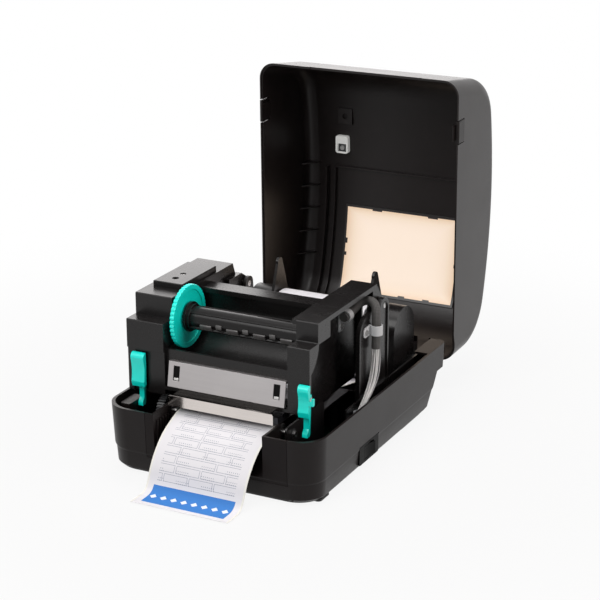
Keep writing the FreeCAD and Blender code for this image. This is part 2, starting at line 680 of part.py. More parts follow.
def gap_sensor():
    body = box(-9, 9, PLATEN_Y + 22, PLATEN_Y + 36, DECK_Z, DECK_Z + 4)
    return rounded(body, 1.5, lambda e: along(e, 2))


# Label roll, guides and strip

def label_roll():
    return ring_x(ROLL_Y, ROLL_Z, ROLL_R, CORE_R, -ROLL_W / 2, ROLL_W / 2)


def roll_core():
    return ring_x(ROLL_Y, ROLL_Z, CORE_R, CORE_R - CORE_T, -ROLL_W / 2, ROLL_W / 2)


def guide_rack():
    """Leg and rack bar of the right guide under the deck. Its teeth face the pinion."""
    z0, z1 = WELL_Z - 8, WELL_Z - 4
    step = math.pi * GEAR_M
    root, tip = RACK_Y + 1.1 * GEAR_M, RACK_Y - 0.8 * GEAR_M
    leg = box(GUIDE_X, GUIDE_X + FIN_T, LEG_Y[0], LEG_Y[1], z0, WELL_Z + 2)
    bar = box(-24, GUIDE_X + FIN_T, root, root + 5, z0, z1)
    teeth = []
    for k in range(-7, 15):
        x = k * step
        points = [(x - 0.30 * step, root + 0.3), (x - 0.30 * step, root), (x - 0.11 * step, tip),
                  (x + 0.11 * step, tip), (x + 0.30 * step, root), (x + 0.30 * step, root + 0.3)]
        teeth.append(prism_z(points, z0, z1))
    return join(leg, bar, *teeth)


def guide_body():
    """Fin, hub in the roll core, and the rounded hood of the right guide."""
    x0, low = GUIDE_X, WELL_Z + SLIDE
    fin = prism_x([
        (ROLL_Y - 24, low), (WELL_Y1 - 1, low), (WELL_Y1 + 14, low + 11.5), (ROLL_Y + 21, 108),
        (ROLL_Y + 7, FIN_TOP - 4),
        ((ROLL_Y + 3, FIN_TOP), (ROLL_Y - 3, FIN_TOP - 6)), (ROLL_Y - 12, 118), (ROLL_Y - 24, 90)], x0,
        x0 + FIN_T)
    hub_r = CORE_R - CORE_T - HUB_GAP
    hub = rod_x(ROLL_Y, ROLL_Z, hub_r, x0 - GUIDE_GAP - HUB_L, x0 + 1)
    hub = hub.cut(rod_x(ROLL_Y, ROLL_Z, hub_r - 2.5, x0 - GUIDE_GAP - HUB_L - 1, x0))
    arc_z = HOOD_TOP - HOOD_R

    def hood_shape(inset, a, b):
        r = HOOD_R - inset
        return prism_x([
            (HOOD_Y - r, low), (HOOD_Y - r + 20, low), (HOOD_Y + r, DECK_Z + 1), (HOOD_Y + r, arc_z),
            ((HOOD_Y, arc_z + r), (HOOD_Y - r, arc_z))], a, b)
    hood = hood_shape(0, HOOD_X0, HOOD_X1).cut(hood_shape(2.2, HOOD_X0 - 1, HOOD_X1 - 2.2))
    bridge = hood_shape(0, x0 + FIN_T - 1, HOOD_X0 + 1).cut(hood_shape(2.2, x0, HOOD_X0 + 2))
    bridge = bridge.common(box(0, 200, HOOD_Y - 20, HOOD_Y + 10, 80, 200))
    return join(fin, hub, hood, bridge)


def right_guide():
    return join(guide_body(), guide_rack())


def left_guide():
    rack = guide_rack()
    rack.rotate(V(0, ROLL_Y, 0), V(0, 0, 1), 180)
    return join(mirror_x(guide_body()), rack)


def guide_pinion():
    step = 2 * math.pi / RACK_TEETH
    points = [(x, ROLL_Y + y) for x, y in gear_points(RACK_TEETH, math.pi / 2 + step / 2)]
    gear = prism_z(points, WELL_Z - 8, WELL_Z - 4)
    return gear.cut(rod_z(0, ROLL_Y, STUD_R + RUN, WELL_Z - 10, WELL_Z - 3))


def tangent_path(points):
    """Wire of straight runs joined by tangent arcs, each as large as its shorter run allows."""
    corners = [V(*p) for p in points]
    edges, radii = [], []
    start = corners[0]
    for before, corner, after in zip(corners, corners[1:], corners[2:]):
        into, out = (corner - before), (after - corner)
        turn = into.getAngle(out)
        cut = 0.45 * min(into.Length, out.Length)
        into.normalize()
        out.normalize()
        a, b = corner - into * cut, corner + out * cut
        radius = cut / math.tan(turn / 2)
        half = (out - into).normalize()
        middle = corner + half * (radius / math.cos(turn / 2) - radius)
        edges.append(Part.LineSegment(start, a).toShape())
        edges.append(Part.Arc(a, middle, b).toShape())
        radii.append(radius)
        start = b
    edges.append(Part.LineSegment(start, corners[-1]).toShape())
    return Part.Wire(edges), radii


def tube(points, radius):
    wire, radii = tangent_path(points)
    start, ahead = V(*points[0]), V(*points[1]) - V(*points[0])
    ring = Part.Wire([Part.Circle(start, ahead, radius).toShape()])
    solid = wire.makePipeShell([ring], True, False)
    want = math.pi * radius ** 2 * wire.Length
    print("tube volume share", round(solid.Volume / want, 4), "radii", [round(r, 1) for r in radii])
    return solid


STRIP_ROUTE = [
    (ROLL_Y - 6, ROLL_Z - ROLL_R - 0.55), (DECK_RISE_Y - 8, DECK_Z + 4.5), (PLATEN_Y + 8, STRIP_Z),
    (PLATEN_Y - 12, STRIP_Z - 0.2), (FRONT_Y + 26, 56.5), (FRONT_Y + 2, 46), (FRONT_Y - 17, 26),
    (FRONT_Y - 25, 7), (FRONT_Y - 32, 0.6), (FRONT_Y - 46, 0.3), (FRONT_Y - 56, 0.7)]


def label_strip():
    wire, radii = tangent_path([(STRIP_X - STRIP_W / 2, y, z) for y, z in STRIP_ROUTE])
    face = wire.makeOffset2D(STRIP_T, 0, True, True)
    return face.extrude(V(STRIP_W, 0, 0))


# Print module

def tower_points(inset, z0):
    """Side view of the left gear tower."""
    return [
        (TOWER_Y + 1.5 + inset, z0 + inset), (TOWER_Y + 1.5 + inset, LOWER_Z0 + inset),
        (TOWER_Y + inset, LOWER_Z0 + inset),
        (TOWER_Y + inset, LOWER_Z1 - inset), (STEP_Y + inset, LOWER_Z1 - inset),
        (STEP_Y + inset, UPPER_Z - inset),
        (22 - inset, UPPER_Z - inset), (28 - inset, 150), (28 - inset, 118), (8 - inset, z0 + inset)]


LEVER_SLOT = LEVER_SHANK / 2 + SIDE_PLAY + 0.5
LID_X = (MODULE_X0 + 6, GEARBOX_X1 - 2)
LID_Y = (STEP_Y + 24, -9.0)
LID_SCREW_Y = LID_Y[0] + 30
LID_SEAT_Z = UPPER_Z + LID_H - 2.5


def ear(x0, x1, front_y, top_z):
    points = [
        (front_y, top_z), (PIVOT_Y - 8, top_z), (PIVOT_Y + 6, PIVOT_Z + 4.5),
        ((PIVOT_Y + EAR_R * 0.94, PIVOT_Z - 2.5), (PIVOT_Y, PIVOT_Z - EAR_R)),
        (PIVOT_Y - 14, PIVOT_Z - 5), (front_y, PIVOT_Z - 5)]
    return prism_x(points, x0, x1)


def gearbox_housing():
    x0, x1 = MODULE_X0, GEARBOX_X1
    lever_x, slot = LEVER_X[0], LEVER_SLOT
    grip = LEVER_W[0] / 2 + 0.8
    shell = prism_x(tower_points(0, TOWER_Z0), x0, x1)
    ends = ((TOWER_Y, LOWER_Z1), (STEP_Y, UPPER_Z))
    shell = rounded(shell, 1.2, lambda e: along(e, 0) and (round(e.CenterOfMass.y, 3),
        round(e.CenterOfMass.z, 3)) in ends)
    shell = shell.cut(prism_x(tower_points(WALL, TOWER_Z0), x0 + WALL, x1 - WALL))
    lug_y, lug_z = (TOWER_Y + 3, LEVER_PIN_Y + 5), (LEVER_PIN_Z - 5, LEVER_PIN_Z + 5)
    lugs = [box(x0 + WALL / 2, lever_x - slot, *lug_y, *lug_z),
        box(lever_x + slot, lever_x + grip + 6, *lug_y, *lug_z)]
    stud = rod_x(*RIBBON_IDLER_AXIS, STUD_R, RIBBON_GEAR_X0 - 1.5, x1 - WALL / 2)
    clip = rod_x(*RIBBON_AXIS, RIBBON_MOTOR_R + 1.5, x1 - WALL - 4, x1 - WALL / 2)
    clip = clip.cut(rod_x(*RIBBON_AXIS, RIBBON_MOTOR_R + RUN, x1 - WALL - 5, x1 - WALL))
    mouth = box(lever_x - grip, lever_x + grip, TOWER_Y - 1, TOWER_Y + WALL + 1.6, TOWER_Z0 - 1,
        LEVER_PIN_Z + 7)
    shell = shell.cut(mouth)
    housing = join(shell, ear(x1 - WALL, x1 + 4.5, 6, 152), stud, clip, *lugs)
    lid_x, lid_y = (LID_X[0] + 4, LID_X[1] - 4), (LID_Y[0] + 4, LID_Y[1] - 4)
    holes = [
        box(lever_x - slot, lever_x + slot, TOWER_Y - 1, LEVER_PIN_Y + 13, TOWER_Z0 - 1, LEVER_PIN_Z + 7),
        rod_x(LEVER_PIN_Y, LEVER_PIN_Z, LEVER_PIN_R, lever_x - slot - 5, lever_x + slot + 5),
        rod_x(*REWIND_AXIS, JOURNAL_R + RUN, x1 - WALL - 1, x1 + 1),
        rod_x(SUPPLY_Y, SUPPLY_Z, JOURNAL_R + RUN, x1 - WALL - 1, x1 + 1),
        rod_x(PIVOT_Y, PIVOT_Z, PIVOT_R + RUN, x1 - WALL - 1, x1 + 6),
        box(*lid_x, lid_y[0], LID_SCREW_Y - 5, UPPER_Z - WALL - 1, UPPER_Z + 1),
        box(*lid_x, LID_SCREW_Y + 5, lid_y[1], UPPER_Z - WALL - 1, UPPER_Z + 1),
        rod_z((LID_X[0] + LID_X[1]) / 2, LID_SCREW_Y, SCREW_R + RUN, UPPER_Z - WALL - 1, UPPER_Z + 1)]
    return housing.cut(Part.makeCompound(holes))


def gearbox_lid():
    lid = box(*LID_X, *LID_Y, UPPER_Z, UPPER_Z + LID_H)
    lid = rounded(lid, 1.0, lambda e: e.CenterOfMass.z > UPPER_Z + LID_H - 0.1)
    x = (LID_X[0] + LID_X[1]) / 2
    lip = box(LID_X[0] + 4.3, LID_X[1] - 4.3, LID_Y[0] + 4.3, LID_SCREW_Y - 5.3, UPPER_Z - WALL, UPPER_Z + 1)
    lip = lip.cut(box(LID_X[0] + 6, LID_X[1] - 6, LID_Y[0] + 6, LID_SCREW_Y - 7, UPPER_Z - WALL - 1,
        UPPER_Z + 1))
    holes = [
        rod_z(x, LID_Y[0] + 15, 3.4, UPPER_Z + 1.5, UPPER_Z + LID_H + 1),
        rod_z(x, LID_SCREW_Y, SCREW_HEAD_R + FIT, LID_SEAT_Z, UPPER_Z + LID_H + 1),
        rod_z(x, LID_SCREW_Y, SCREW_R + RUN, UPPER_Z - 1, UPPER_Z + LID_H)]
    return join(lid, lip).cut(Part.makeCompound(holes))


def screw(x, y, z, way):
    """Pan-head machine screw seated at a point, its head on the side away from the way it points."""
    head = Part.makeCylinder(SCREW_HEAD_R, SCREW_HEAD_H, V(x, y, z), way * -1)
    shank = Part.makeCylinder(SCREW_R, SCREW_L, V(x, y, z), way)
    top = V(x, y, z) - way * (SCREW_HEAD_H - 0.5)
    slot = Part.makeBox(3.6, 0.7, 2, V(-1.8, -0.35, 0))
    turn = FreeCAD.Rotation(V(0, 0, 1), way * -1)
    slot.Placement = FreeCAD.Placement(top, turn)
    return join(head, shank).cut(slot)


def module_screws():
    lid = screw((LID_X[0] + LID_X[1]) / 2, LID_SCREW_Y, LID_SEAT_Z, V(0, 0, -1))
    x, y, z = SLEEVE_ROUTE[0]
    clip = screw(CHEEK_X + CHEEK_T + CLIP_T, y + CLIP_IN, z - CLIP_DROP, V(-1, 0, 0))
    return Part.makeCompound([lid, clip])


def base_screws():
    screws = [screw(x, y, FOOT_H + SCREW_HEAD_H + 0.2, V(0, 0, 1)) for x, y, z in POSTS]
    screws.append(screw(UPRIGHT_X + UPRIGHT_T + CLIP_T, CLIP_Y - CLIP_SCREW, CLIP_Z, V(-1, 0, 0)))
    return Part.makeCompound(screws)


def ribbon_trough():
    """Curved wall behind and below the rewind spindle."""
    x0, x1, far = GEARBOX_X1, CHEEK_X + 1, 90
    back, front = math.radians(25), math.radians(40)
    ring = ring_x(REWIND_Y, REWIND_Z, TROUGH_R + TROUGH_T, TROUGH_R, x0, x1)
    sky = prism_x([
        (REWIND_Y, REWIND_Z), (REWIND_Y + far * math.cos(back), REWIND_Z + far * math.sin(back)),
        (REWIND_Y + far, REWIND_Z + far), (REWIND_Y - far, REWIND_Z + far),
        (REWIND_Y - far * math.cos(front), REWIND_Z - far * math.sin(front))], x0 - 1, x1 + 1)
    return ring.cut(sky)


def right_tower():
    """Stepped block at the right front with the thin wall below it."""
    x0, x1, top = CHEEK_X, MODULE_X1, UPPER_Z - 1.5
    front = box(x0, x1, TOWER_Y, TOWER_Y + 3.5, FRAME_Z0, LOWER_Z0 + 4)
    lower = prism_x([
        (TOWER_Y, LOWER_Z0 + 3), (TOWER_Y, LOWER_Z1), (STEP_Y + 2, LOWER_Z1),
        ((STEP_Y - 4.5, LOWER_Z1 - 17), (TOWER_Y + 3.5, LOWER_Z0 + 3))], x0, x1)
    upper = box(x0, x1, STEP_Y, STEP_Y + 26, LOWER_Z1 - 1, top)
    return rounded(join(lower, upper, front), 1.0, lambda e: along(e, 0) and e.CenterOfMass.y < STEP_Y + 1)


def module_frame():
    x0, x1, top = CHEEK_X, MODULE_X1, UPPER_Z - 1.5
    left, right = GEARBOX_X1, CHEEK_X + 1
    cheek = prism_x([
        (TOWER_Y + 2, FRAME_Z0), (TOWER_Y + 2, LOWER_Z1 - 2), (STEP_Y + 1, LOWER_Z1 - 2),
        (STEP_Y + 1, top), (30, top),
        (30, CHEEK_Z0 + 8), (22, CHEEK_Z0), (TOWER_Y + 18, CHEEK_Z0), (TOWER_Y + 12, FRAME_Z0)],
        x0, x0 + CHEEK_T)
    rear = box(x0, x0 + CHEEK_FLANGE, 28.5, 31, CHEEK_Z0 + 12, top)
    arm = box(x0 - 5, x1, STEP_Y + 2, 31, top - ARM_TOP_T, top)
    tail = box(x0 - 5, x1, 28.5, 31, top - 14, top)
    cross_y = REWIND_Y + (TROUGH_R + TROUGH_T) * math.cos(math.radians(25)) - 2.6
    cross = box(left, right, cross_y, CROSS_Y1, CROSS_Z - 3, CROSS_Z)
    ridge = box(left, right, cross_y, cross_y + 3, CROSS_Z - 3, CROSS_Z + 2)
    apron = box(left, right, TOWER_Y + 6, TOWER_Y + 8.5, PLATE_TOP_Z - 4, REWIND_Z - TROUGH_R * 0.64)
    beam = box(left, right, PLATEN_Y - 10, PLATEN_Y + 14, BEAM_Z0, BEAM_Z1)
    post = box(left, left + 3, TOWER_Y + 6, PLATEN_Y + 14, BEAM_Z0, REWIND_Z - TROUGH_R * 0.64)
    lever_x, slot = LEVER_X[1], LEVER_SLOT
    lug = box(x0 + 1, lever_x - slot, TOWER_Y + 3, LEVER_PIN_Y + 5, LEVER_PIN_Z - 5, LEVER_PIN_Z + 5)
    frame = join(
        cheek, rear, right_tower(), arm, tail, ribbon_trough(), cross, ridge, apron, beam, post, lug,
        ear(x1 - 6, x1, 22, top - 2))
    mouth = box(lever_x - LEVER_W[1] / 2 - 0.8, x1 + 1, TOWER_Y - 1, TOWER_Y + 2.9, FRAME_Z0 - 1,
        LEVER_PIN_Z + 7)
    wide = box(lever_x - LEVER_W[1] / 2 - 0.8, x1 + 1, TOWER_Y - 1, TOWER_Y + 5, FRAME_Z0 - 1,
        LEVER_PIN_Z - 5)
    gap = box(lever_x - slot, x1 + 1, TOWER_Y - 1, LEVER_PIN_Y + 6, FRAME_Z0 - 1, LEVER_PIN_Z + 7)
    y, z = SLEEVE_ROUTE[0][1] + CLIP_IN, SLEEVE_ROUTE[0][2] - CLIP_DROP
    holes = [
        mouth, wide, gap, rod_x(*REWIND_AXIS, JOURNAL_R + RUN, x0 - 1, x0 + 9),
        rod_x(SUPPLY_Y, SUPPLY_Z, JOURNAL_R + RUN, x0 - 1, x0 + CHEEK_T + 1),
        rod_x(PIVOT_Y, PIVOT_Z, PIVOT_R + RUN, x1 - 7, x1 + 1),
        rod_x(LEVER_PIN_Y, LEVER_PIN_Z, LEVER_PIN_R, lever_x - slot - 8, lever_x),
        rod_x(y, z, SCREW_R + RUN, x0 - 1, x0 + CHEEK_T + 1)]
    return frame.cut(Part.makeCompound(holes))


def rewind_wheel():
    """Scalloped hand wheel on the rewind spindle."""
    points = []
    step = 2 * math.pi / WHEEL_LOBES

    def at(radius, angle):
        return (REWIND_Y + radius * math.cos(angle), REWIND_Z + radius * math.sin(angle))
    points.append(at(WHEEL_R - 1.0, 0))
    for k in range(WHEEL_LOBES):
        points.append((at(WHEEL_R, (k + 0.5) * step), at(WHEEL_R - 1.0, (k + 1) % WHEEL_LOBES * step)))
    disc = Part.Face(outline(points, lambda y, z: V(WHEEL_X0, y, z))).extrude(V(WHEEL_T, 0, 0))
    dish = rod_x(*REWIND_AXIS, WHEEL_R - 5, WHEEL_X0 + WHEEL_T - 1.4, WHEEL_X0 + WHEEL_T + 1)
    return disc.cut(dish).cut(rod_x(*REWIND_AXIS, JOURNAL_R, WHEEL_X0 - 1, WHEEL_X0 + WHEEL_T + 1))


def ribbed_core(y, z, x0, x1):
    core = rod_x(y, z, SPINDLE_R, x0, x1)
    ribs = []
    for k in range(4):
        rib = box(x0, x1, y - 1.6, y + 1.6, z, z + SPINDLE_R + SPINDLE_RIB)
        rib.rotate(V(0, y, z), V(1, 0, 0), 45 + 90 * k)
        ribs.append(rib)
    return join(core, *ribs)


def rewind_spindle():
    hub_x = WHEEL_X0 + WHEEL_T
    shaft = rod_x(*REWIND_AXIS, JOURNAL_R, RIBBON_GEAR_X0 - 2, CHEEK_X + 6)
    flange = rod_x(*REWIND_AXIS, SPINDLE_R + 4, hub_x, hub_x + 3)
    collar = rod_x(*REWIND_AXIS, SPINDLE_R + 2, hub_x + 3, hub_x + 6)
    core = ribbed_core(*REWIND_AXIS, hub_x + 6, CHEEK_X - SIDE_PLAY - 1)
    return join(shaft, flange, collar, core)


def rewind_gear():
    return gear_x(*REWIND_AXIS, REWIND_TEETH, 0, RIBBON_GEAR_X0, RIBBON_GEAR_W, JOURNAL_R)


def ribbon_idler():
    return gear_x(*RIBBON_IDLER_AXIS, RIBBON_IDLER_TEETH, RIBBON_IDLER_PHASE, RIBBON_GEAR_X0,
        RIBBON_GEAR_W, STUD_R + RUN)


def ribbon_motor():
    x1 = GEARBOX_X1 - WALL
    x0 = RIBBON_GEAR_X0 + RIBBON_GEAR_W + 2
    can = rod_x(*RIBBON_AXIS, RIBBON_MOTOR_R, x0, x1)
    return can.cut(rod_x(*RIBBON_AXIS, RIBBON_SHAFT_R + RUN, x0 - 1, x1 - 3))


def ribbon_pinion():
    gear = gear_x(*RIBBON_AXIS, RIBBON_MOTOR_TEETH, RIBBON_PHASE, RIBBON_GEAR_X0, RIBBON_GEAR_W,
        RIBBON_SHAFT_R - 0.5)
    return join(gear, rod_x(*RIBBON_AXIS, RIBBON_SHAFT_R, RIBBON_GEAR_X0 - 0.5, GEARBOX_X1 - WALL - 4))


def supply_spindle():
    x0 = GEARBOX_X1
    shaft = rod_x(SUPPLY_Y, SUPPLY_Z, JOURNAL_R, x0 - WALL, CHEEK_X + CHEEK_T)
    flange = rod_x(SUPPLY_Y, SUPPLY_Z, SPINDLE_R + 5, x0 + 2.5, x0 + 5)
    return join(shaft, flange, ribbed_core(SUPPLY_Y, SUPPLY_Z, x0 + 5, CHEEK_X - SIDE_PLAY - 1))


def print_head():
    z0 = STRIP_Z + STRIP_T + HEAD_GAP
    sink = box(-HEAD_X, HEAD_X, PLATEN_Y - 9, PLATEN_Y + 16, z0 + 0.6, z0 + HEAD_H)
    fins = [box(-HEAD_X - 1, HEAD_X + 1, PLATEN_Y + 2 + 4 * k, PLATEN_Y + 4 + 4 * k, z0 + 4,
        z0 + HEAD_H + 1) for k in range(3)]
    strip = box(-HEAD_X + 3, HEAD_X - 3, PLATEN_Y - 4, PLATEN_Y + 6, z0, z0 + 1)
    return join(sink.cut(Part.makeCompound(fins)), strip)


def head_springs():
    z0 = STRIP_Z + STRIP_T + HEAD_GAP + HEAD_H
    springs = []
    for x in (-30, 30):
        coil = rod_z(x, PLATEN_Y - 2, 3.5, z0, BEAM_Z0)
        springs.append(coil.cut(rod_z(x, PLATEN_Y - 2, 2.7, z0 - 1, BEAM_Z0 + 1)))
    return Part.makeCompound(springs)


def head_plate():
    y0 = TOWER_Y + 1
    drop = PLATE_TOP_Z - PLATE_LOW_Z
    lean = drop * 0.18
    points = [
        (y0, PLATE_TOP_Z), (y0 - lean, PLATE_LOW_Z), (y0 - lean + SHEET_T, PLATE_LOW_Z),
        (y0 + SHEET_T, PLATE_TOP_Z - SHEET_T),
        (TOWER_Y + 6, PLATE_TOP_Z - SHEET_T), (TOWER_Y + 6, PLATE_TOP_Z)]
    plate = prism_x(points, HEAD_PLATE_X0, HEAD_PLATE_X1)
    slots = []
    for x in (HEAD_PLATE_X0 + 9, HEAD_PLATE_X1 - 9):
        slots.append(box(x - 3.4, x + 3.4, y0 - lean - 2, y0 + 3, PLATE_TOP_Z - 18.5, PLATE_TOP_Z - 4))
    return plate.cut(Part.makeCompound(slots))


def tear_bar():
    plate = box(-BAR_X, BAR_X, BAR_Y - SHEET_T, BAR_Y, BAR_Z0, BAR_Z1)
    plate = rounded(plate, 2.5, lambda e: along(e, 1) and e.CenterOfMass.z > BAR_Z1 - 1)
    flange = box(-BAR_X + 4, BAR_X - 4, BAR_Y - SHEET_T / 2, PLATEN_Y - 6, BAR_Z1 - SHEET_T, BAR_Z1)
    return join(plate, flange)


# Release levers and their pins

def lever(side):
    """Grip in front of the tower, boss on the pin, shank down to a forward toe."""
    x, w, top = LEVER_X[side], LEVER_W[side], LEVER_TOP[side]
    front = TOWER_Y - 5.5
    low = LEVER_PIN_Z - 16
    grip = prism_x([
        (front + 5, top), ((front + 1.2, top - 1.5), (front, top - 6)),
        ((front + 1.6, LEVER_PIN_Z + 4), (front + 0.4, low + 5)),
        (front + 2, low), (front + 5, low + 2)], x - w / 2, x + w / 2)
    boss = box(x - LEVER_SHANK / 2, x + LEVER_SHANK / 2, front + 4, LEVER_PIN_Y + 3, LEVER_PIN_Z - 4,
        LEVER_PIN_Z + 4)
    shank = prism_x([
        (LEVER_PIN_Y - 3, LEVER_PIN_Z), (LEVER_PIN_Y + 2, LEVER_PIN_Z), (LEVER_PIN_Y, LEVER_TIP + 2),
        (LEVER_PIN_Y - 1.5, LEVER_TIP),
        (LEVER_PIN_Y - 6, LEVER_TIP), (LEVER_PIN_Y - 6, LEVER_TIP + 4), (LEVER_PIN_Y - 3, LEVER_TIP + 8)],
        x - LEVER_SHANK / 2, x + LEVER_SHANK / 2)
    bore = rod_x(LEVER_PIN_Y, LEVER_PIN_Z, LEVER_PIN_R + RUN, x - w, x + w)
    pieces = [grip, boss, shank]
    if side == 1:
        edge = x + w / 2
        pieces.append(box(edge - 1, edge + 4.5, front + 2, front + 5, LEVER_PIN_Z - 3, LEVER_PIN_Z + 0.5))
        pieces.append(box(edge + 2.5, edge + 4.5, front + 2, front + 5, LEVER_PIN_Z - 3, LEVER_PIN_Z + 4))
    return join(*pieces).cut(bore)


def left_lever():
    return lever(0)


def right_lever():
    return lever(1)


def lever_pins():
    reach = LEVER_SLOT + 4
    left = rod_x(LEVER_PIN_Y, LEVER_PIN_Z, LEVER_PIN_R, LEVER_X[0] - reach, LEVER_X[0] + reach)
    right = rod_x(LEVER_PIN_Y, LEVER_PIN_Z, LEVER_PIN_R, LEVER_X[1] - LEVER_SLOT - 8,
        LEVER_X[1] + LEVER_SHANK / 2 + 1)
    return Part.makeCompound([left, right])


# Uprights, hinge pins and harness

def right_upright():
    x0, x1 = UPRIGHT_X, UPRIGHT_X + UPRIGHT_T
    plate = prism_x([
        (-22, DECK_Z + 2), (46, DECK_Z + 2), (47, 134), ((PIVOT_Y + 2, 146), (30, 147)), (22, 142), (-2, 142),
        ((-16, 137), (-22, 122))], x0, x1)
    rim = plate.copy()
    inner = prism_x([
        (-19.5, DECK_Z - 2), (43.5, DECK_Z - 2), (44, 133), ((PIVOT_Y + 1, 142), (30, 142.5)), (23, 138),
        (-1, 138),
        ((-14, 134), (-19.5, 121))], x0 - 1, x1 + 3)
    rim.translate(V(1.5, 0, 0))
    rim = rim.cut(inner).cut(box(x0, x1 + 3, -40, 60, 0, DECK_SIDE_Z + 1))
    rim = rim.cut(box(x0, x1 + 3, -6, 26, 134, 150))
    holes = [rod_x(PIVOT_Y, PIVOT_Z, PIVOT_R, x0 - 1, x1 + 3),
        rod_x(CLIP_Y - CLIP_SCREW, CLIP_Z, SCREW_R + RUN, x0 - 1, x1 + 1)]
    return join(plate, rim).cut(Part.makeCompound(holes))


def module_hinge_pins():
    left = rod_x(PIVOT_Y, PIVOT_Z, PIVOT_R, GEARBOX_X1 - WALL, LEFT_UPRIGHT_X + LEFT_UPRIGHT_T)
    right = rod_x(PIVOT_Y, PIVOT_Z, PIVOT_R, MODULE_X1 - 6, UPRIGHT_X + UPRIGHT_T)
    return Part.makeCompound([left, right])


def harness_sleeve():
    return tube(SLEEVE_ROUTE, SLEEVE_R)


def harness_wires():
    x, y, z = SLEEVE_ROUTE[-1]
    wires = []
    for k, (dx, dy) in enumerate(WIRE_ENDS):
        bulge = 1.6 * (k - 2.5)
        wires.append(tube([
            (x + dx, y + dy, z - 0.6), (x + dx * 1.1, y + dy * 1.2 + bulge * 0.5, z - 20),
            (x + dx * 0.8 - 0.2, y + dy * 0.6 - 12 + bulge * 0.5, z - 40),
            (GROMMET_X + dx * 0.7, GROMMET_Y + dy * 0.8, DECK_Z + DECK_T + 2.9)], WIRE_R))
    return Part.makeCompound(wires)


def grommet():
    x, y, top = GROMMET_X, GROMMET_Y, DECK_Z + DECK_T
    return join(rod_z(x, y, GROMMET_R, top, top + 2), rod_z(x, y, GROMMET_NECK, DECK_Z - 2, top + 2))


def base_clip():
    x, r, seat = SLEEVE_ROUTE[-1][0], SLEEVE_R + 0.5, UPRIGHT_X + UPRIGHT_T
    hoop = rod_z(x, CLIP_Y, r + 1.2, CLIP_Z - 5, CLIP_Z + 5)
    tab = box(seat, seat + CLIP_T, CLIP_Y - 18, CLIP_Y + 2, CLIP_Z - 5, CLIP_Z + 5)
    tab = rounded(tab, 4, lambda e: along(e, 0) and e.CenterOfMass.y < CLIP_Y)
    holes = [rod_z(x, CLIP_Y, r, CLIP_Z - 6, CLIP_Z + 6),
        rod_x(CLIP_Y - CLIP_SCREW, CLIP_Z, SCREW_R + RUN, seat - 1, seat + 3)]
    return join(hoop, tab).cut(Part.makeCompound(holes))


def module_clip():
    x, y, z = SLEEVE_ROUTE[0]
    r, seat = SLEEVE_R + 0.5, CHEEK_X + CHEEK_T
    hoop = rod_y(x, z, r + 1.2, y + CLIP_IN - 4, y + CLIP_IN + 4)
    tab = box(seat, seat + CLIP_T, y + CLIP_IN - 4, y + CLIP_IN + 4, z - CLIP_DROP - 5, z)
    holes = [rod_y(x, z, r, y, y + 20), rod_x(y + CLIP_IN, z - CLIP_DROP, SCREW_R + RUN, seat - 1, seat + 3)]
    return join(hoop, tab).cut(Part.makeCompound(holes))


# Cover, modelled closed and then swung open

def open_cover(shape):
    shape.rotate(V(0, HINGE_Y, HINGE_Z), V(-1, 0, 0), OPEN_ANGLE)
    return shape


def arc_middle(centre, radius, a, b):
    """Point halfway along the shorter arc between two points of a circle."""
    t = [math.atan2(p[1] - centre[1], p[0] - centre[0]) for p in (a, b)]
    m = (t[0] + t[1]) / 2
    return (centre[0] + radius * math.cos(m), centre[1] + radius * math.sin(m))


def front_round():
    """Centre of the round between the leaning front wall and the crown."""
    lean = math.radians(COVER_LEAN)
    t = math.tan(lean)
    a = FRONT_Y + COVER_FRONT_R / math.cos(lean) - CREST_Y
    b = COVER_RIM - COVER_TOP + COVER_TOP_R
    reach = COVER_TOP_R - COVER_FRONT_R
    half = a * t + b
    root = math.sqrt(half ** 2 - (1 + t ** 2) * (a ** 2 + b ** 2 - reach ** 2))
    rise = (root - half) / (1 + t ** 2)
    return (CREST_Y + a + rise * t, COVER_RIM + rise)


def cover_points(inset, z_low):
    """Side view of the closed cover, drawn in by the inset."""
    crown = (CREST_Y, COVER_TOP - COVER_TOP_R)
    lean = math.radians(COVER_LEAN)

    def on_crown(centre, radius):
        share = (COVER_TOP_R - inset) / (COVER_TOP_R - radius)
        return tuple(c + (p - c) * share for p, c in zip(centre, crown))
    front = front_round()
    rear_y = COVER_REAR_Y - COVER_REAR_R
    rear = (rear_y, crown[1] + math.sqrt((COVER_TOP_R - COVER_REAR_R) ** 2 - (rear_y - CREST_Y) ** 2))
    front_top, rear_top = on_crown(front, COVER_FRONT_R), on_crown(rear, COVER_REAR_R)
    front_in = COVER_FRONT_R - inset
    front_low = (front[0] - front_in * math.cos(lean), front[1] + front_in * math.sin(lean))
    rim_y = FRONT_Y + inset / math.cos(lean) + (z_low - COVER_RIM) * math.tan(lean)
    rear_low = (COVER_REAR_Y - inset, rear[1])
    return [
        (rim_y, z_low), front_low,
        (arc_middle(front, front_in, front_low, front_top), front_top),
        ((CREST_Y, COVER_TOP - inset), rear_top),
        (arc_middle(rear, COVER_REAR_R - inset, rear_top, rear_low), rear_low),
        (COVER_REAR_Y - inset, z_low)]


def cover_slab(inset, z_low, x0, x1):
    return prism_x(cover_points(inset, z_low), x0, x1)


def cover_solid(inset, z_low):
    """Rounded cover form. The round runs over front, top and back along both sides."""
    half = HALF_W - inset
    solid = cover_slab(inset, z_low, -half, half)

    def on_side(edge):
        level = all(abs(v.Z - z_low) < 1e-4 for v in edge.Vertexes)
        return all(abs(abs(v.X) - half) < 1e-4 for v in edge.Vertexes) and not level
    return rounded(solid, COVER_SIDE_R - inset, on_side)


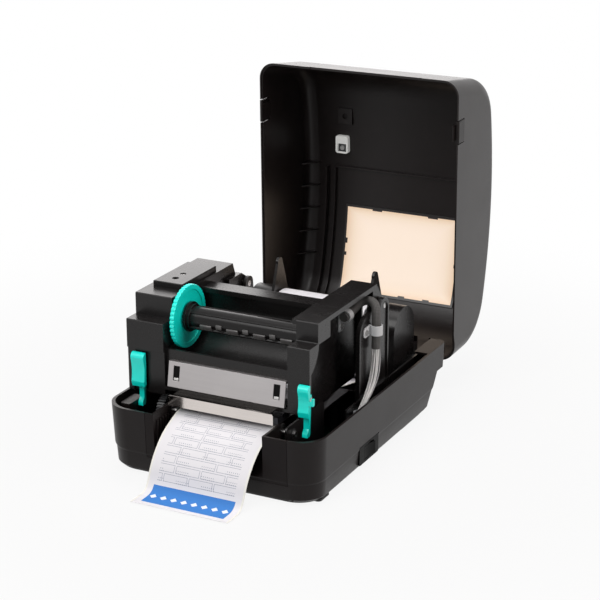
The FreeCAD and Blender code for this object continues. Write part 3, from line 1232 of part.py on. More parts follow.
WINDOW = (-61.0, 75.0, 26.0, 118.0)
WINDOW_RIM = 2.5        # flange round the pane, inside the cover
BUTTON = (-64.0, -79.0)
BUTTON_R = 5.0
LIGHT = (-68.0, -46.0)
TAB_Y = (-115.5, -91.5)
TAB_H = 15.0
TAB_OUT = 0.8
TAB_BEAD_R = 0.8        # rounded upper edge that a tab rocks on
TAB_GAP = 1.2           # tab in its slot, at the top
RIB_DEEP = 7.5          # ribs inside the cover
RIB_LOW = 5.0
HOLDER_DEEP = 2.4       # button boss below the inside of the cover
HOLDER_PLATE = 0.6      # plate that keeps the button in
BUTTON_FLANGE = 1.0
BUTTON_TRAVEL = 1.2


def crown_z(y, inset):
    return COVER_TOP - COVER_TOP_R + math.sqrt((COVER_TOP_R - inset) ** 2 - (y - CREST_Y) ** 2)


def cover_shell():
    shell = cover_solid(0, COVER_RIM).cut(cover_solid(WALL, COVER_RIM - 2))
    lip = cover_solid(WALL * 0.5, COVER_RIM - 2).common(box(-HALF_W, HALF_W, FRONT_Y, BACK_Y, 0,
        COVER_RIM + 2))
    shell = shell.cut(lip)
    bay = box(-HALF_W, HALF_W, -18, 138, 100, COVER_TOP)
    rib = cover_slab(WALL - 0.6, COVER_RIM, -88, -85.8)
    rib = rib.cut(cover_slab(WALL + RIB_DEEP, COVER_RIM - 1, -89, -85)).common(bay)
    rib2 = cover_slab(WALL - 0.6, COVER_RIM, -78, -76.4)
    rib2 = rib2.cut(cover_slab(WALL + RIB_LOW, COVER_RIM - 1, -79, -75)).common(bay)
    cross = cover_slab(WALL - 0.6, COVER_RIM, -76.5,
        HALF_W - 20).cut(cover_slab(WALL + 3, COVER_RIM - 1, -78, HALF_W))
    cross = cross.common(box(-HALF_W, HALF_W, -20, -18, 100, COVER_TOP))
    shell = join(shell, rib, rib2, cross, button_holder())
    bx, by = BUTTON
    cuts = [
        box(WINDOW[0], WINDOW[1], WINDOW[2], WINDOW[3], 120, COVER_TOP + 5),
        rod_z(bx, by, BUTTON_R + SIDE_PLAY, crown_z(by, WALL) - 1, COVER_TOP + 5),
        rod_z(bx, by, BUTTON_R + 1.8, button_low() - BUTTON_TRAVEL - 0.1, button_low() + BUTTON_FLANGE + FIT),
        rod_z(LIGHT[0], LIGHT[1] - 6, 2.2, 160, COVER_TOP + 5),
        box(-56, 73, FRONT_Y - 1, FRONT_Y + WALL + 1, COVER_RIM - 1, COVER_RIM + 3),
        prism_x([(118, COVER_RIM - 1), (118, COVER_RIM), (128, COVER_RIM + REAR_LIFT),
        (BACK_Y, COVER_RIM + REAR_LIFT),
                 (BACK_Y, COVER_RIM - 1)], -HALF_W - 1, HALF_W + 1)]
    slot = box(
        HALF_W - 6, HALF_W + 2, TAB_Y[0] - 0.8, TAB_Y[1] + 0.8, COVER_RIM - 1, COVER_RIM + TAB_H + TAB_GAP)
    cuts += [slot, mirror_x(slot)]
    arm = hinge_arm()
    return open_cover(join(shell.cut(Part.makeCompound(cuts)), arm, mirror_x(arm)))


def cover_tab(side):
    """Finger tab in the side wall with its tongue inside the base rim."""
    x1 = HALF_W + TAB_OUT
    tab = box(HALF_W - WALL, x1, TAB_Y[0], TAB_Y[1], COVER_RIM, COVER_RIM + TAB_H)
    tab = rounded(tab, 1.4, lambda e: e.CenterOfMass.x > x1 - 0.01)
    tongue = box(HALF_W - WALL - 2.4, HALF_W - WALL + 0.5, TAB_Y[0] + 4, TAB_Y[1] - 4, COVER_RIM + 1,
        COVER_RIM + TAB_H)
    hook = box(HALF_W - WALL - 2.4, HALF_W - WALL - 1.0, TAB_Y[0] + 4, TAB_Y[1] - 4, COVER_RIM - 5,
        COVER_RIM + 2)
    bead = rod_y(HALF_W - 1.2, COVER_RIM + TAB_H, TAB_BEAD_R, *TAB_Y)
    whole = join(tab, tongue, hook, bead)
    return open_cover(whole if side > 0 else mirror_x(whole))


def left_tab():
    return cover_tab(-1)


def right_tab():
    return cover_tab(1)


def cover_window():
    x0, x1, y0, y1 = WINDOW
    pane = cover_slab(0.4, 100, x0 + FIT, x1 - FIT).cut(cover_slab(WALL, 99, x0, x1)).common(
        box(x0, x1, y0 + FIT, y1 - FIT, 110, COVER_TOP))
    m = WINDOW_RIM
    frame = cover_slab(WALL, 100, x0 - m, x1 + m).cut(cover_slab(WALL + 1.8, 99, x0 - m - 1, x1 + m + 1))
    frame = frame.common(box(x0 - m, x1 + m, y0 - m, y1 + m, 100, COVER_TOP))
    return open_cover(join(pane, frame))


def button_low():
    """Underside of the feed button's flange at rest."""
    return crown_z(BUTTON[1], WALL) - HOLDER_DEEP + HOLDER_PLATE + BUTTON_TRAVEL + 0.1


def feed_button():
    x, y = BUTTON
    top, low = crown_z(y, 0), button_low()
    cap = rod_z(x, y, BUTTON_R, low, top + 0.9)
    flange = rod_z(x, y, BUTTON_R + 1.2, low, low + BUTTON_FLANGE)
    return open_cover(join(rounded(cap, 0.8, lambda e: e.CenterOfMass.z > top + 0.5), flange))


def button_holder():
    """Square boss inside the top that keeps the feed button."""
    x, y = BUTTON
    top = crown_z(y, WALL)
    block = box(x - 8.5, x + 8.5, y - 9, y + 9, top - HOLDER_DEEP, top + 2)
    block = block.common(cover_slab(WALL - 0.5, 100, x - 20, x + 20))
    return block.cut(rod_z(x, y, 3.2, top - HOLDER_DEEP - 1, top))


def light_guide():
    x, y = LIGHT
    top = crown_z(y, WALL)
    block = box(x - 7.5, x + 7.5, y - 10, y + 10, top - 6,
        top + 2).common(cover_slab(WALL, 100, x - 20, x + 20))
    block = rounded(block, 2.5, lambda e: along(e, 2))
    well = box(x - 5.5, x + 5.5, y - 1, y + 8, top - 7, top - 3)
    pipe = rod_z(x, y - 6, 2.0, top - 3, crown_z(y - 6, 0))
    return open_cover(join(block.cut(well), pipe).cut(rod_z(x, y + 4, 1.5, top - 8, top - 1)))


def light_screw():
    x, y = LIGHT
    top = crown_z(y, WALL) - 3
    head = rod_z(x, y + 4, 2.6, top - 1.6, top)
    return open_cover(join(head, rod_z(x, y + 4, 1.4, top - 1, top + 1.8)))


def hinge_arm():
    """Arm on the inside of the back wall, down to the hinge barrel."""
    x0, x1 = ARM_X - ARM_W / 2, ARM_X + ARM_W / 2
    y1 = COVER_REAR_Y - WALL + 0.6
    plate = box(x0, x1, y1 - ARM_T - 0.6, y1, HINGE_Z, HINGE_Z + ARM_H)
    arm = join(plate, rod_x(HINGE_Y, HINGE_Z, HINGE_BARREL_R, x0, x1))
    return arm.cut(rod_x(HINGE_Y, HINGE_Z, HINGE_PIN_R + RUN, x0 - 1, x1 + 1))


def cover_hinge_pins():
    reach = ARM_SLOT + LUG_T
    pin = rod_x(HINGE_Y, HINGE_Z, HINGE_PIN_R, ARM_X - reach, ARM_X + reach)
    return Part.makeCompound([pin, mirror_x(pin)])


PARTS = {
    "base_tray": base_tray, "front_panel": front_panel, "foot_pads": feet, "base_screws": base_screws,
    "switch_bezel": switch_bezel, "switch_body": switch_body, "power_rocker": power_rocker,
    "power_inlet": power_inlet, "data_socket": data_socket, "inner_deck": inner_deck,
    "left_side_plate": left_plate, "right_side_plate": right_plate, "platen_bushes": platen_bushes,
    "platen_roller": platen_roller, "platen_shaft": platen_shaft, "platen_gear": platen_gear,
    "drive_idler": drive_idler, "drive_motor": drive_motor, "drive_pinion": drive_pinion,
    "main_board": main_board, "gap_sensor": gap_sensor, "label_roll": label_roll, "roll_core": roll_core,
    "left_roll_guide": left_guide, "right_roll_guide": right_guide, "guide_pinion": guide_pinion,
    "label_strip": label_strip, "module_frame": module_frame, "gearbox_housing": gearbox_housing,
    "gearbox_lid": gearbox_lid, "module_screws": module_screws, "rewind_wheel": rewind_wheel,
    "rewind_spindle": rewind_spindle, "rewind_gear": rewind_gear, "ribbon_idler": ribbon_idler,
    "ribbon_motor": ribbon_motor, "ribbon_pinion": ribbon_pinion, "supply_spindle": supply_spindle,
    "print_head": print_head, "head_springs": head_springs, "head_cover_plate": head_plate,
    "tear_bar": tear_bar, "left_release_lever": left_lever, "right_release_lever": right_lever,
    "lever_pins": lever_pins, "right_upright": right_upright, "module_hinge_pins": module_hinge_pins,
    "harness_sleeve": harness_sleeve, "harness_wires": harness_wires, "wire_grommet": grommet,
    "base_cable_clip": base_clip, "module_cable_clip": module_clip, "cover_shell": cover_shell,
    "left_cover_tab": left_tab, "right_cover_tab": right_tab, "cover_window": cover_window,
    "feed_button": feed_button, "light_guide": light_guide, "light_guide_screw": light_screw,
    "cover_hinge_pins": cover_hinge_pins,
}

os.makedirs("parts", exist_ok=True)
for name, make in PARTS.items():
    shape = make()
    shape.exportStep("parts/" + name + ".step")
    print(name, len(shape.Solids), shape.isValid(), round(shape.Volume / 1000, 2), "cm3")
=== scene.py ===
import json
import math
from functools import partial

import bpy
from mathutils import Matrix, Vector
from mathutils.bvhtree import BVHTree


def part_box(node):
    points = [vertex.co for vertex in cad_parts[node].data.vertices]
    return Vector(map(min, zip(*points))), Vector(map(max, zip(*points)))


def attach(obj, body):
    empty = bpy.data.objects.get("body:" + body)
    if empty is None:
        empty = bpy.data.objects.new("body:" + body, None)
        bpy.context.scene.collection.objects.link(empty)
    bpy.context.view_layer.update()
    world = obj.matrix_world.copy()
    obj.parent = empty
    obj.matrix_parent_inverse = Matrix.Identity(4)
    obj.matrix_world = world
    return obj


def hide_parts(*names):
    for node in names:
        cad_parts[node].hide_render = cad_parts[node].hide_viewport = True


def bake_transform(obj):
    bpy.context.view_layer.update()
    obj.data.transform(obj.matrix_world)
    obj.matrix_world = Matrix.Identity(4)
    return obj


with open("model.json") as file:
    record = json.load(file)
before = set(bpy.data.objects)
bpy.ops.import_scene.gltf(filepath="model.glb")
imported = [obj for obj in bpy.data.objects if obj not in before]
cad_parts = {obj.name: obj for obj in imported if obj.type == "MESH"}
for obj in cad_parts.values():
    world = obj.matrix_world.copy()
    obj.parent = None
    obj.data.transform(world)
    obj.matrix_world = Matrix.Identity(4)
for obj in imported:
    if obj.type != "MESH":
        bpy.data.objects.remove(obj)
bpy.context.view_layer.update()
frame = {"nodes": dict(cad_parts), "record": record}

bl_info = {
    "name": "Desktop Label Printer",
    "version": (1, 0, 0),
    "blender": (4, 5, 0),
    "location": "3D View > Sidebar > Printer",
    "description": "Finishes, paper, harness and studio for a desktop label printer "
                   "with its cover open",
    "category": "Object",
}

NODES = frame["nodes"]
BODIES = frame["record"]["behaviour"]["bodies"]
BODY_OF = {node: body for body, members in BODIES.items() for node in members}
SLOT_OF = {part["node"]: part["material_slot"] for part in frame["record"]["subparts"]}

# Lengths are in metres where no comment says millimetres
MM = 0.001
BACKWARD = Vector((0, 1, 0))
BLACK = (0.0, 0.0, 0.0, 1)

# Middle line of the braided sleeve, from the print module to its lower end
SLEEVE_ROUTE = [
    (0.077, -0.018, 0.141), (0.077, 0.0, 0.141), (0.082, 0.014, 0.1505),
    (0.097, 0.012, 0.1515), (0.1015, 0.0065, 0.138), (0.1015, 0.005, 0.106)]
SLEEVE_SIDES = 24
BRAID_ROUND = 10.0  # strands round the sleeve
BRAID_ALONG = 420.0  # strands in a metre of it
BRAID_SWING, BRAID_ROUGHNESS = -0.2, 0.72
# The strands' lighter tone is painted highlight; the gap tone is the braid's own black
BRAID_STRAND_HIGHLIGHT = (0.11, 0.105, 0.10, 1)
BRAID_GAP_TONE = (0.003, 0.003, 0.003, 1)

# Wires below the sleeve, in millimetres: place in its end in x and y, and colour
WIRES = [
    (-2.4, 0.0, "wire_white"), (-1.2, 2.0, "wire_grey"), (0.0, -2.0, "wire_white"),
    (1.2, 1.2, "wire_black"), (2.6, -0.6, "wire_white"), (0.2, 0.4, "wire_grey"),
    (-2.6, -1.8, "wire_white"), (1.6, -2.6, "wire_white"), (2.8, 1.6, "wire_grey")]
# Stations down the bundle, in millimetres: how far it spreads in x and y, its shift in x and y,
# the share of a wire's own bulge, and the drop below the sleeve
WIRE_STATIONS = [
    (1.0, 1.0, 0.0, 0.0, 0.0, 0.0), (1.2, 1.3, 0.0, 0.0, 0.6, 20.0),
    (0.9, 0.8, -0.2, -12.0, 0.6, 40.0)]
# Its foot in the grommet, in millimetres: spread in x and y, and depth below the grommet's top
WIRE_FOOT = (0.7, 0.8, 0.4)
WIRE_BULGE = 1.1  # millimetres more from one wire to the next
WIRE_SIDES = 10

# Middle line of the label strip in y and z, from the roll to its free end, and its place in x
STRIP_ROUTE = [
    (0.094, 0.03445), (0.012, 0.0545), (-0.100, 0.0601), (-0.120, 0.0599), (-0.131, 0.0565),
    (-0.155, 0.046), (-0.174, 0.026), (-0.182, 0.007), (-0.189, 0.0006), (-0.203, 0.0003),
    (-0.213, 0.0007)]
STRIP_X = 0.002
STRIP_COLUMNS = 12

# Print on the strip: limits across it, then along it from its free end
FORM = ((0.0105, 0.0935), (0.0365, 0.142))
BAND = ((0.008, 0.096), (0.006, 0.033))
LABEL_ACROSS = (0.002, 0.102)
CELL = (0.027, 0.0092)
CELL_GAPS = (0.00125, 0.00085)  # what lies between the two is a cell's rim
CELL_SHIFT, CELL_SQUASH, CELL_SQUASH_ROWS = 0.42, 1.6, 3  # rows differ in place and width
DASH, DASH_GAP = (0.0021, 0.0023), 0.0007
DASHED_SHARE = 0.42  # of a row of cells
WORDS_ACROSS, WORDS_ALONG = 37.0, 9.0  # groups of dashes in a metre
WORD_GAP = 0.45  # share of a group that stays blank
RIM_STRENGTH, DASH_STRENGTH = 0.80, 0.85
DIAMOND_PITCH, DIAMOND_HALF, DIAMOND_ALONG = 0.011, 0.0036, 0.0195
INK_TONE = (0.16, 0.18, 0.26, 1)
DIAMOND_TONE = (0.80, 0.84, 0.90, 1)
LINER_TONE = (0.80, 0.79, 0.74, 1)

# Wound roll: layers shown, steps round it, and how far each second edge stands back
ROLL_LAYERS, ROLL_STEPS, ROLL_STAGGER = 26, 96, 0.00035

# Window: rim, clips (side, place along it as a share, half width), how far the clips reach in,
# tint of the pane's edge, how sharply it sets in, the paint's share and the inner side's painted
# glow
WINDOW_RIM = 0.0025
WINDOW_CLIPS = [
    ("top", 0.27, 0.006), ("top", 0.77, 0.006), ("left", 0.42, 0.002), ("left", 0.58, 0.003),
    ("right", 0.45, 0.002), ("right", 0.58, 0.003), ("bottom", 0.56, 0.004),
    ("bottom", 0.78, 0.004)]
CLIP_REACH = {"top": 0.0016, "bottom": 0.0014, "left": 0.0022, "right": 0.0022}
WINDOW_EDGE_TINT, WINDOW_EDGE_POWER = (0.80, 0.70, 0.58), 7.0
WINDOW_SKIN, WINDOW_PAINTED_GLOW = 0.68, 0.70

# Light guide: its dark flange as shares of its width (from both sides) and height, and its
# painted glow
FLANGE_SIDE, FLANGE_FOOT, FLANGE_TOP = 0.14, 0.10, 0.52
FLANGE_TONE = (0.03, 0.03, 0.032, 1)
GUIDE_PAINTED_GLOW = 0.25

# Pieces whose finish differs from the slot that they share with their neighbours
# The cover's finish is the case's black, painted lighter
OWN_FINISH = {
    "switch_bezel": "socket_black", "power_rocker": "socket_black",
    "cover_shell": "cover_black_painted_lighter", "rewind_spindle": "spindle_black"}

# Spring fingers of the rewind spindle, two kinds in turn: length, width, degrees round it
FINGERS = [(0.0125, 0.0062, 62), (0.0062, 0.0044, 78)]
FINGER_THICK, FINGER_GAP, FINGER_RADIUS = 0.0018, 0.0052, 0.0114
FINGER_START = -0.0415
FINGER_END = 0.013  # short of the spindle's end

# Ribs in the cover's left corner
RIB_COUNT, RIB_PITCH, RIB_THICK = 5, 0.026, 0.0016
RIB_DROP = 0.026  # from the light guide to the first rib
RIB_REACH = 0.030  # distance off the walls from which the corner is looked at
RIB_TURNS = range(112, 161, 4)  # degrees in which it is looked at
RIB_BITE = 0.0006  # how far a rib goes into the wall

# Behind the head plate's slots: distance of a slot from the plate's end, of the bare face from
# the slot's middle and of the look at that face; then the dark box of painted shade and the tab
# by their size, distance behind the plate's face and drop below its top
SLOT_IN, SLOT_BESIDE, SLOT_LOOK = 0.009, 0.006, 0.009
SLOT_SHADE_BOX = ((0.0092, 0.0036, 0.0170), 0.0027, 0.0113)
SLOT_TAB = ((0.0052, 0.0014, 0.0026), 0.0007, 0.0168)

# Edge rounds of the pieces that catch the light, in millimetres
EDGE_ROUNDS = {
    "base_tray": 0.5, "front_panel": 0.4, "cover_shell": 0.5, "gearbox_housing": 0.6,
    "gearbox_lid": 0.4, "module_frame": 0.5, "right_upright": 0.4, "inner_deck": 0.4,
    "left_roll_guide": 0.5, "right_roll_guide": 0.5, "head_cover_plate": 0.25, "tear_bar": 0.2,
    "left_release_lever": 0.6, "right_release_lever": 0.6, "rewind_wheel": 0.3,
    "rewind_spindle": 0.3, "switch_bezel": 0.4, "power_rocker": 0.4, "left_cover_tab": 0.3,
    "right_cover_tab": 0.3, "light_guide": 0.3, "base_cable_clip": 0.3,
    "module_cable_clip": 0.3, "supply_spindle": 0.3, "wire_grommet": 0.4, "cover_window": 0.2,
}
SMALL_ROUND = 0.0003  # of the small pieces that are modelled here
ROUND_SEGMENTS = 2
ROUND_ANGLE = 38  # degrees; flatter edges stay
FLAT_ANGLE = 0.4  # degrees; faces that meet flatter become one
# Degrees below which an edge is shaded smooth
SMOOTH_HARD, SMOOTH_SOFT, SMOOTH_WOUND = 35, 40, 20

# Depth of the relief, and how strongly grain, rubbing, fibres and streaks show
GRAIN_DEPTH, FIBRE_DEPTH, BRAID_DEPTH = 0.0002, 0.0001, 0.0005
GRAIN_SWING = 0.06
RUB_POWER, RUB_LIFT = 4.0, 0.004
FIBRE_SWING, FIBRE_ROUGHNESS = 0.15, 0.62
STREAK_SCALE = (12.0, 1500.0, 1500.0)
STREAK_SHADE, CLOUD_SHADE, LEAST_SHADE = 0.16, 0.14, 0.84
COAT_ROUGHNESS = 0.2

# Studio
FLOOR_SIZE, FLOOR_LEVEL, FLOOR_TONE = 14.0, -0.0005, (0.50, 0.50, 0.50, 1)
FLOOR_ROUGHNESS, FLOOR_SHINE = 0.7, 0.05
# The floor's white by distance from the middle
FLOOR_FADE = {"From Min": 0.25, "From Max": 0.8, "To Min": 0.90, "To Max": 1.0}
# Colour and strength of the light from all round, and of the white that is seen
WORLD_SHADES = [((1, 0.99, 0.98, 1), 0.20), ((1, 1, 1, 1), 1.0)]
LAMP_AIM = Vector((0.0, 0.0, 0.12))
# Lamps: place, size, power in watts, colour
LAMPS = {
    "key_light": ((-0.6, -2.1, 2.1), 1.6, 44.0, (1.0, 0.99, 0.98)),
    "side_light": ((2.5, 0.3, 1.1), 1.5, 28.0, (1.0, 0.92, 0.89)),
    "top_light": ((0.0, 0.1, 2.6), 1.8, 40.0, (1.0, 0.97, 0.96)),
    "back_light": ((-1.4, 2.1, 1.1), 1.8, 18.0, (1.0, 0.96, 0.95)),
}
CAMERA_PLACE = (0.7882, -1.5202, 0.7285)
CAMERA_DOWN, CAMERA_ROLL, CAMERA_TURN = 18.909, 0.095, 26.756  # degrees
CAMERA_SENSOR = 36.0  # millimetres
CAMERA_FAR = 50.0

COLOUR = {"subtype": "COLOR", "size": 3, "min": 0, "max": 1}


class PrinterFinishes(bpy.types.PropertyGroup):
    """Colours of the printer's main finishes."""
    case: bpy.props.FloatVectorProperty(
        name="Case", description="Warm black of the moulded casing",
        default=(0.0085, 0.0062, 0.006), **COLOUR)
    mechanism: bpy.props.FloatVectorProperty(
        name="Mechanism", description="Black of the inner mouldings",
        default=(0.0075, 0.0065, 0.0065), **COLOUR)
    teal: bpy.props.FloatVectorProperty(
        name="Touch points", description="Turquoise of the wheel and levers",
        default=(0.0, 0.86, 0.74), **COLOUR)
    plate: bpy.props.FloatVectorProperty(
        name="Plate", description="Satin steel of the head plate",
        default=(0.40, 0.38, 0.38), **COLOUR)
    paper: bpy.props.FloatVectorProperty(
        name="Paper", description="White of the label stock",
        default=(0.76, 0.75, 0.78), **COLOUR)
    band: bpy.props.FloatVectorProperty(
        name="Band", description="Blue band printed at the end of a label",
        default=(0.03, 0.19, 0.56), **COLOUR)
    window: bpy.props.FloatVectorProperty(
        name="Window", description="Cream of the cover window",
        default=(0.94, 0.79, 0.66), **COLOUR)


class PrinterSizes(bpy.types.PropertyGroup):
    """Sizes of the pieces that are modelled here."""
    sleeve_radius: bpy.props.FloatProperty(
        name="Sleeve radius", description="Radius of the braided sleeve",
        default=0.0045, min=0.001, unit="LENGTH")
    wire_radius: bpy.props.FloatProperty(
        name="Wire radius", description="Radius of one wire",
        default=0.0008, min=0.0002, unit="LENGTH")
    strip_width: bpy.props.FloatProperty(
        name="Label width", description="Width of the label strip",
        default=0.104, min=0.02, unit="LENGTH")
    strip_thickness: bpy.props.FloatProperty(
        name="Label thickness", description="Thickness of the label strip",
        default=0.00025, min=0.00005, unit="LENGTH")
    camera_lens: bpy.props.FloatProperty(
        name="Lens", description="Focal length of the camera",
        default=109.0, min=20, subtype="DISTANCE_CAMERA", unit="CAMERA")


def looks():
    return bpy.context.scene.printer_finishes


def sizes():
    return bpy.context.scene.printer_sizes


# Shader nodes

# Factor, colours and result among the sockets of a Mix node that mixes colours
MIX_INPUTS, MIX_RESULT = (0, 6, 7), 2


def feed(tree, socket, value):
    """Set a socket to a constant or link another socket to it."""
    if isinstance(value, (int, float, tuple)):
        socket.default_value = value
    else:
        tree.links.new(value, socket)


def add_noise(tree, vector, scale, detail):
    noise = tree.nodes.new("ShaderNodeTexNoise")
    for label, value in (("Vector", vector), ("Scale", scale), ("Detail", detail)):
        feed(tree, noise.inputs[label], value)
    return noise.outputs["Fac"]


def add_math(tree, operation, *values):
    node = tree.nodes.new("ShaderNodeMath")
    node.operation = operation
    for socket, value in zip(node.inputs, values):
        feed(tree, socket, value)
    return node.outputs[0]


def add_mix(tree, factor, a, b):
    node = tree.nodes.new("ShaderNodeMix")
    node.data_type = "RGBA"
    for index, value in zip(MIX_INPUTS, (factor, a, b)):
        feed(tree, node.inputs[index], value)
    return node.outputs[MIX_RESULT]


def add_bricks(tree, vector, size, gap, shift=0.5, squash=1.0, squash_rows=2):
    """1 in the gaps of a wall of bricks, else 0."""
    wall = tree.nodes.new("ShaderNodeTexBrick")
    wall.offset, wall.offset_frequency = shift, 2
    wall.squash, wall.squash_frequency = squash, squash_rows
    for label, value in (
            ("Vector", vector), ("Scale", 1.0), ("Mortar Size", gap), ("Mortar Smooth", 0.0),
            ("Brick Width", size[0]), ("Row Height", size[1])):
        feed(tree, wall.inputs[label], value)
    return wall.outputs["Fac"]


def mix_shaders(tree, factor, a, b):
    mix = tree.nodes.new("ShaderNodeMixShader")
    for socket, value in zip(mix.inputs, (factor, a, b)):
        tree.links.new(value, socket)
    return mix.outputs[0]


def object_place(tree):
    return tree.nodes.new("ShaderNodeTexCoord").outputs["Object"]


def uv_place(tree, name):
    uv = tree.nodes.new("ShaderNodeUVMap")
    uv.uv_map = name
    return uv.outputs["UV"]


def split_axes(tree, vector):
    split = tree.nodes.new("ShaderNodeSeparateXYZ")
    tree.links.new(vector, split.inputs[0])
    return split.outputs["X"], split.outputs["Y"], split.outputs["Z"]


def between(tree, value, low, high):
    """1 where the value lies between two limits, else 0."""
    above = add_math(tree, "GREATER_THAN", value, low)
    below = add_math(tree, "LESS_THAN", value, high)
    return add_math(tree, "MULTIPLY", above, below)


def inside(tree, a, b, limits_a, limits_b):
    """1 where two values both lie between their limits, else 0."""
    return add_math(tree, "MULTIPLY", between(tree, a, *limits_a), between(tree, b, *limits_b))


def surround_rays(tree):
    """1 for the rays that show the white surround: to the camera, mirrored or through glass."""
    path = tree.nodes.new("ShaderNodeLightPath").outputs
    mirrored = add_math(tree, "MAXIMUM", path["Is Glossy Ray"], path["Is Transmission Ray"])
    return add_math(tree, "MAXIMUM", path["Is Camera Ray"], mirrored)


# Shader node groups

def socket_label(key):
    return key.replace("_", " ").title()


def new_group(name, **inputs):
    """Node group with the given inputs, and with colour, roughness and height as outputs."""
    group = bpy.data.node_groups.new(name, "ShaderNodeTree")
    for key, default in inputs.items():
        kind = "NodeSocketColor" if isinstance(default, tuple) else "NodeSocketFloat"
        socket = group.interface.new_socket(
            socket_label(key), in_out="INPUT", socket_type=kind)
        socket.default_value = default
    for label, kind in (
            ("Colour", "NodeSocketColor"), ("Roughness", "NodeSocketFloat"),
            ("Height", "NodeSocketFloat")):
        group.interface.new_socket(label, in_out="OUTPUT", socket_type=kind)
    return group, group.nodes.new("NodeGroupInput").outputs


def close_group(group, colour, roughness, height):
    end = group.nodes.new("NodeGroupOutput")
    for label, value in (("Colour", colour), ("Roughness", roughness), ("Height", height)):
        group.links.new(value, end.inputs[label])


def moulded_group():
    """Fine spark grain, slow colour drift and faint rubbed patches of moulded plastic."""
    group, given = new_group(
        "moulded_surface", colour=(0.1, 0.1, 0.1, 1), rubbed=(0.2, 0.2, 0.2, 1),
        grain_scale=1500.0, roughness=0.45, spread=0.12)
    calc = partial(add_math, group)
    place = object_place(group)
    grain = add_noise(group, place, scale=given["Grain Scale"], detail=2.0)
    drift = add_noise(group, place, scale=22.0, detail=4.0)
    rubbed = add_noise(group, place, scale=75.0, detail=6.0)
    mask = calc("MULTIPLY", calc("POWER", rubbed, RUB_POWER), drift)
    spread = calc("MULTIPLY", calc("SUBTRACT", drift, 0.5), given["Spread"])
    fine = calc("MULTIPLY_ADD", grain, GRAIN_SWING, calc("ADD", spread, given["Roughness"]))
    close_group(
        group, add_mix(group, mask, given["Colour"], given["Rubbed"]),
        calc("SUBTRACT", fine, GRAIN_SWING / 2), grain)


def brushed_group():
    """Fine streaks along the length of worked metal."""
    group, given = new_group(
        "brushed_streaks", colour=(0.5, 0.5, 0.5, 1), roughness=0.3, depth=0.12)
    calc = partial(add_math, group)
    place = object_place(group)
    mapping = group.nodes.new("ShaderNodeMapping")
    mapping.inputs["Scale"].default_value = STREAK_SCALE
    group.links.new(place, mapping.inputs["Vector"])
    streak = add_noise(group, mapping.outputs["Vector"], scale=1.0, detail=4.0)
    cloud = add_noise(group, place, scale=30.0, detail=4.0)
    clouded = calc("MULTIPLY_ADD", cloud, CLOUD_SHADE, LEAST_SHADE)
    tint = group.nodes.new("ShaderNodeVectorMath")
    tint.operation = "SCALE"
    group.links.new(given["Colour"], tint.inputs[0])
    group.links.new(calc("MULTIPLY_ADD", streak, STREAK_SHADE, clouded), tint.inputs["Scale"])
    swing = calc("MULTIPLY", calc("SUBTRACT", streak, 0.5), given["Depth"])
    close_group(group, tint.outputs[0], calc("ADD", swing, given["Roughness"]), streak)


def fibre_group():
    """Short felted fibres of paper and board."""
    group, given = new_group(
        "paper_fibre", colour=(0.8, 0.8, 0.8, 1), shade=(0.7, 0.7, 0.7, 1), scale=900.0)
    calc = partial(add_math, group)
    place = object_place(group)
    fibre = add_noise(group, place, scale=given["Scale"], detail=5.0)
    cloud = add_noise(group, place, scale=40.0, detail=3.0)
    colour = add_mix(group, calc("MULTIPLY", fibre, cloud), given["Colour"], given["Shade"])
    close_group(group, colour, calc("MULTIPLY_ADD", fibre, FIBRE_SWING, FIBRE_ROUGHNESS), fibre)


# Materials

def rgba(colour, share=1.0):
    return (colour[0] * share, colour[1] * share, colour[2] * share, 1.0)


def new_material(name):
    material = bpy.data.materials.get(name) or bpy.data.materials.new(name)
    material.use_nodes = True
    tree = material.node_tree
    tree.nodes.clear()
    shader = tree.nodes.new("ShaderNodeBsdfPrincipled")
    output = tree.nodes.new("ShaderNodeOutputMaterial")
    tree.links.new(shader.outputs[0], output.inputs["Surface"])
    return tree, shader


def place_group(tree, group, **values):
    node = tree.nodes.new("ShaderNodeGroup")
    node.node_tree = bpy.data.node_groups[group]
    for key, value in values.items():
        node.inputs[socket_label(key)].default_value = value
    return node


def link_bump(tree, shader, height, strength, distance):
    bump = tree.nodes.new("ShaderNodeBump")
    bump.inputs["Strength"].default_value = strength
    bump.inputs["Distance"].default_value = distance
    tree.links.new(height, bump.inputs["Height"])
    tree.links.new(bump.outputs["Normal"], shader.inputs["Normal"])


def link_surface(tree, shader, node, strength, distance, colour=None):
    tree.links.new(colour or node.outputs["Colour"], shader.inputs["Base Color"])
    tree.links.new(node.outputs["Roughness"], shader.inputs["Roughness"])
    link_bump(tree, shader, node.outputs["Height"], strength, distance)


def plastic(name, colour, roughness, grain=1500.0, strength=0.25, spread=0.12, rub=1.8,
            coat=0.0, shine=0.5):
    """Moulded plastic or rubber. The shine is the strength of its reflections."""
    tree, shader = new_material(name)
    rubbed = [min(1.0, c * rub + RUB_LIFT) for c in colour]
    node = place_group(
        tree, "moulded_surface", colour=rgba(colour), rubbed=rgba(rubbed), grain_scale=grain,
        roughness=roughness, spread=spread)
    link_surface(tree, shader, node, strength, GRAIN_DEPTH)
    shader.inputs["Specular IOR Level"].default_value = shine
    shader.inputs["Coat Weight"].default_value = coat
    shader.inputs["Coat Roughness"].default_value = COAT_ROUGHNESS


def metal(name, colour, roughness, strength=0.12, depth=0.14):
    """Worked metal. The depth is how far its streaks change the roughness."""
    tree, shader = new_material(name)
    node = place_group(
        tree, "brushed_streaks", colour=rgba(colour), roughness=roughness, depth=depth)
    link_surface(tree, shader, node, strength, FIBRE_DEPTH)
    shader.inputs["Metallic"].default_value = 1.0


def paper(name, colour, shade, scale=900.0):
    tree, shader = new_material(name)
    node = place_group(tree, "paper_fibre", colour=rgba(colour), shade=rgba(shade), scale=scale)
    link_surface(tree, shader, node, strength=0.12, distance=FIBRE_DEPTH)


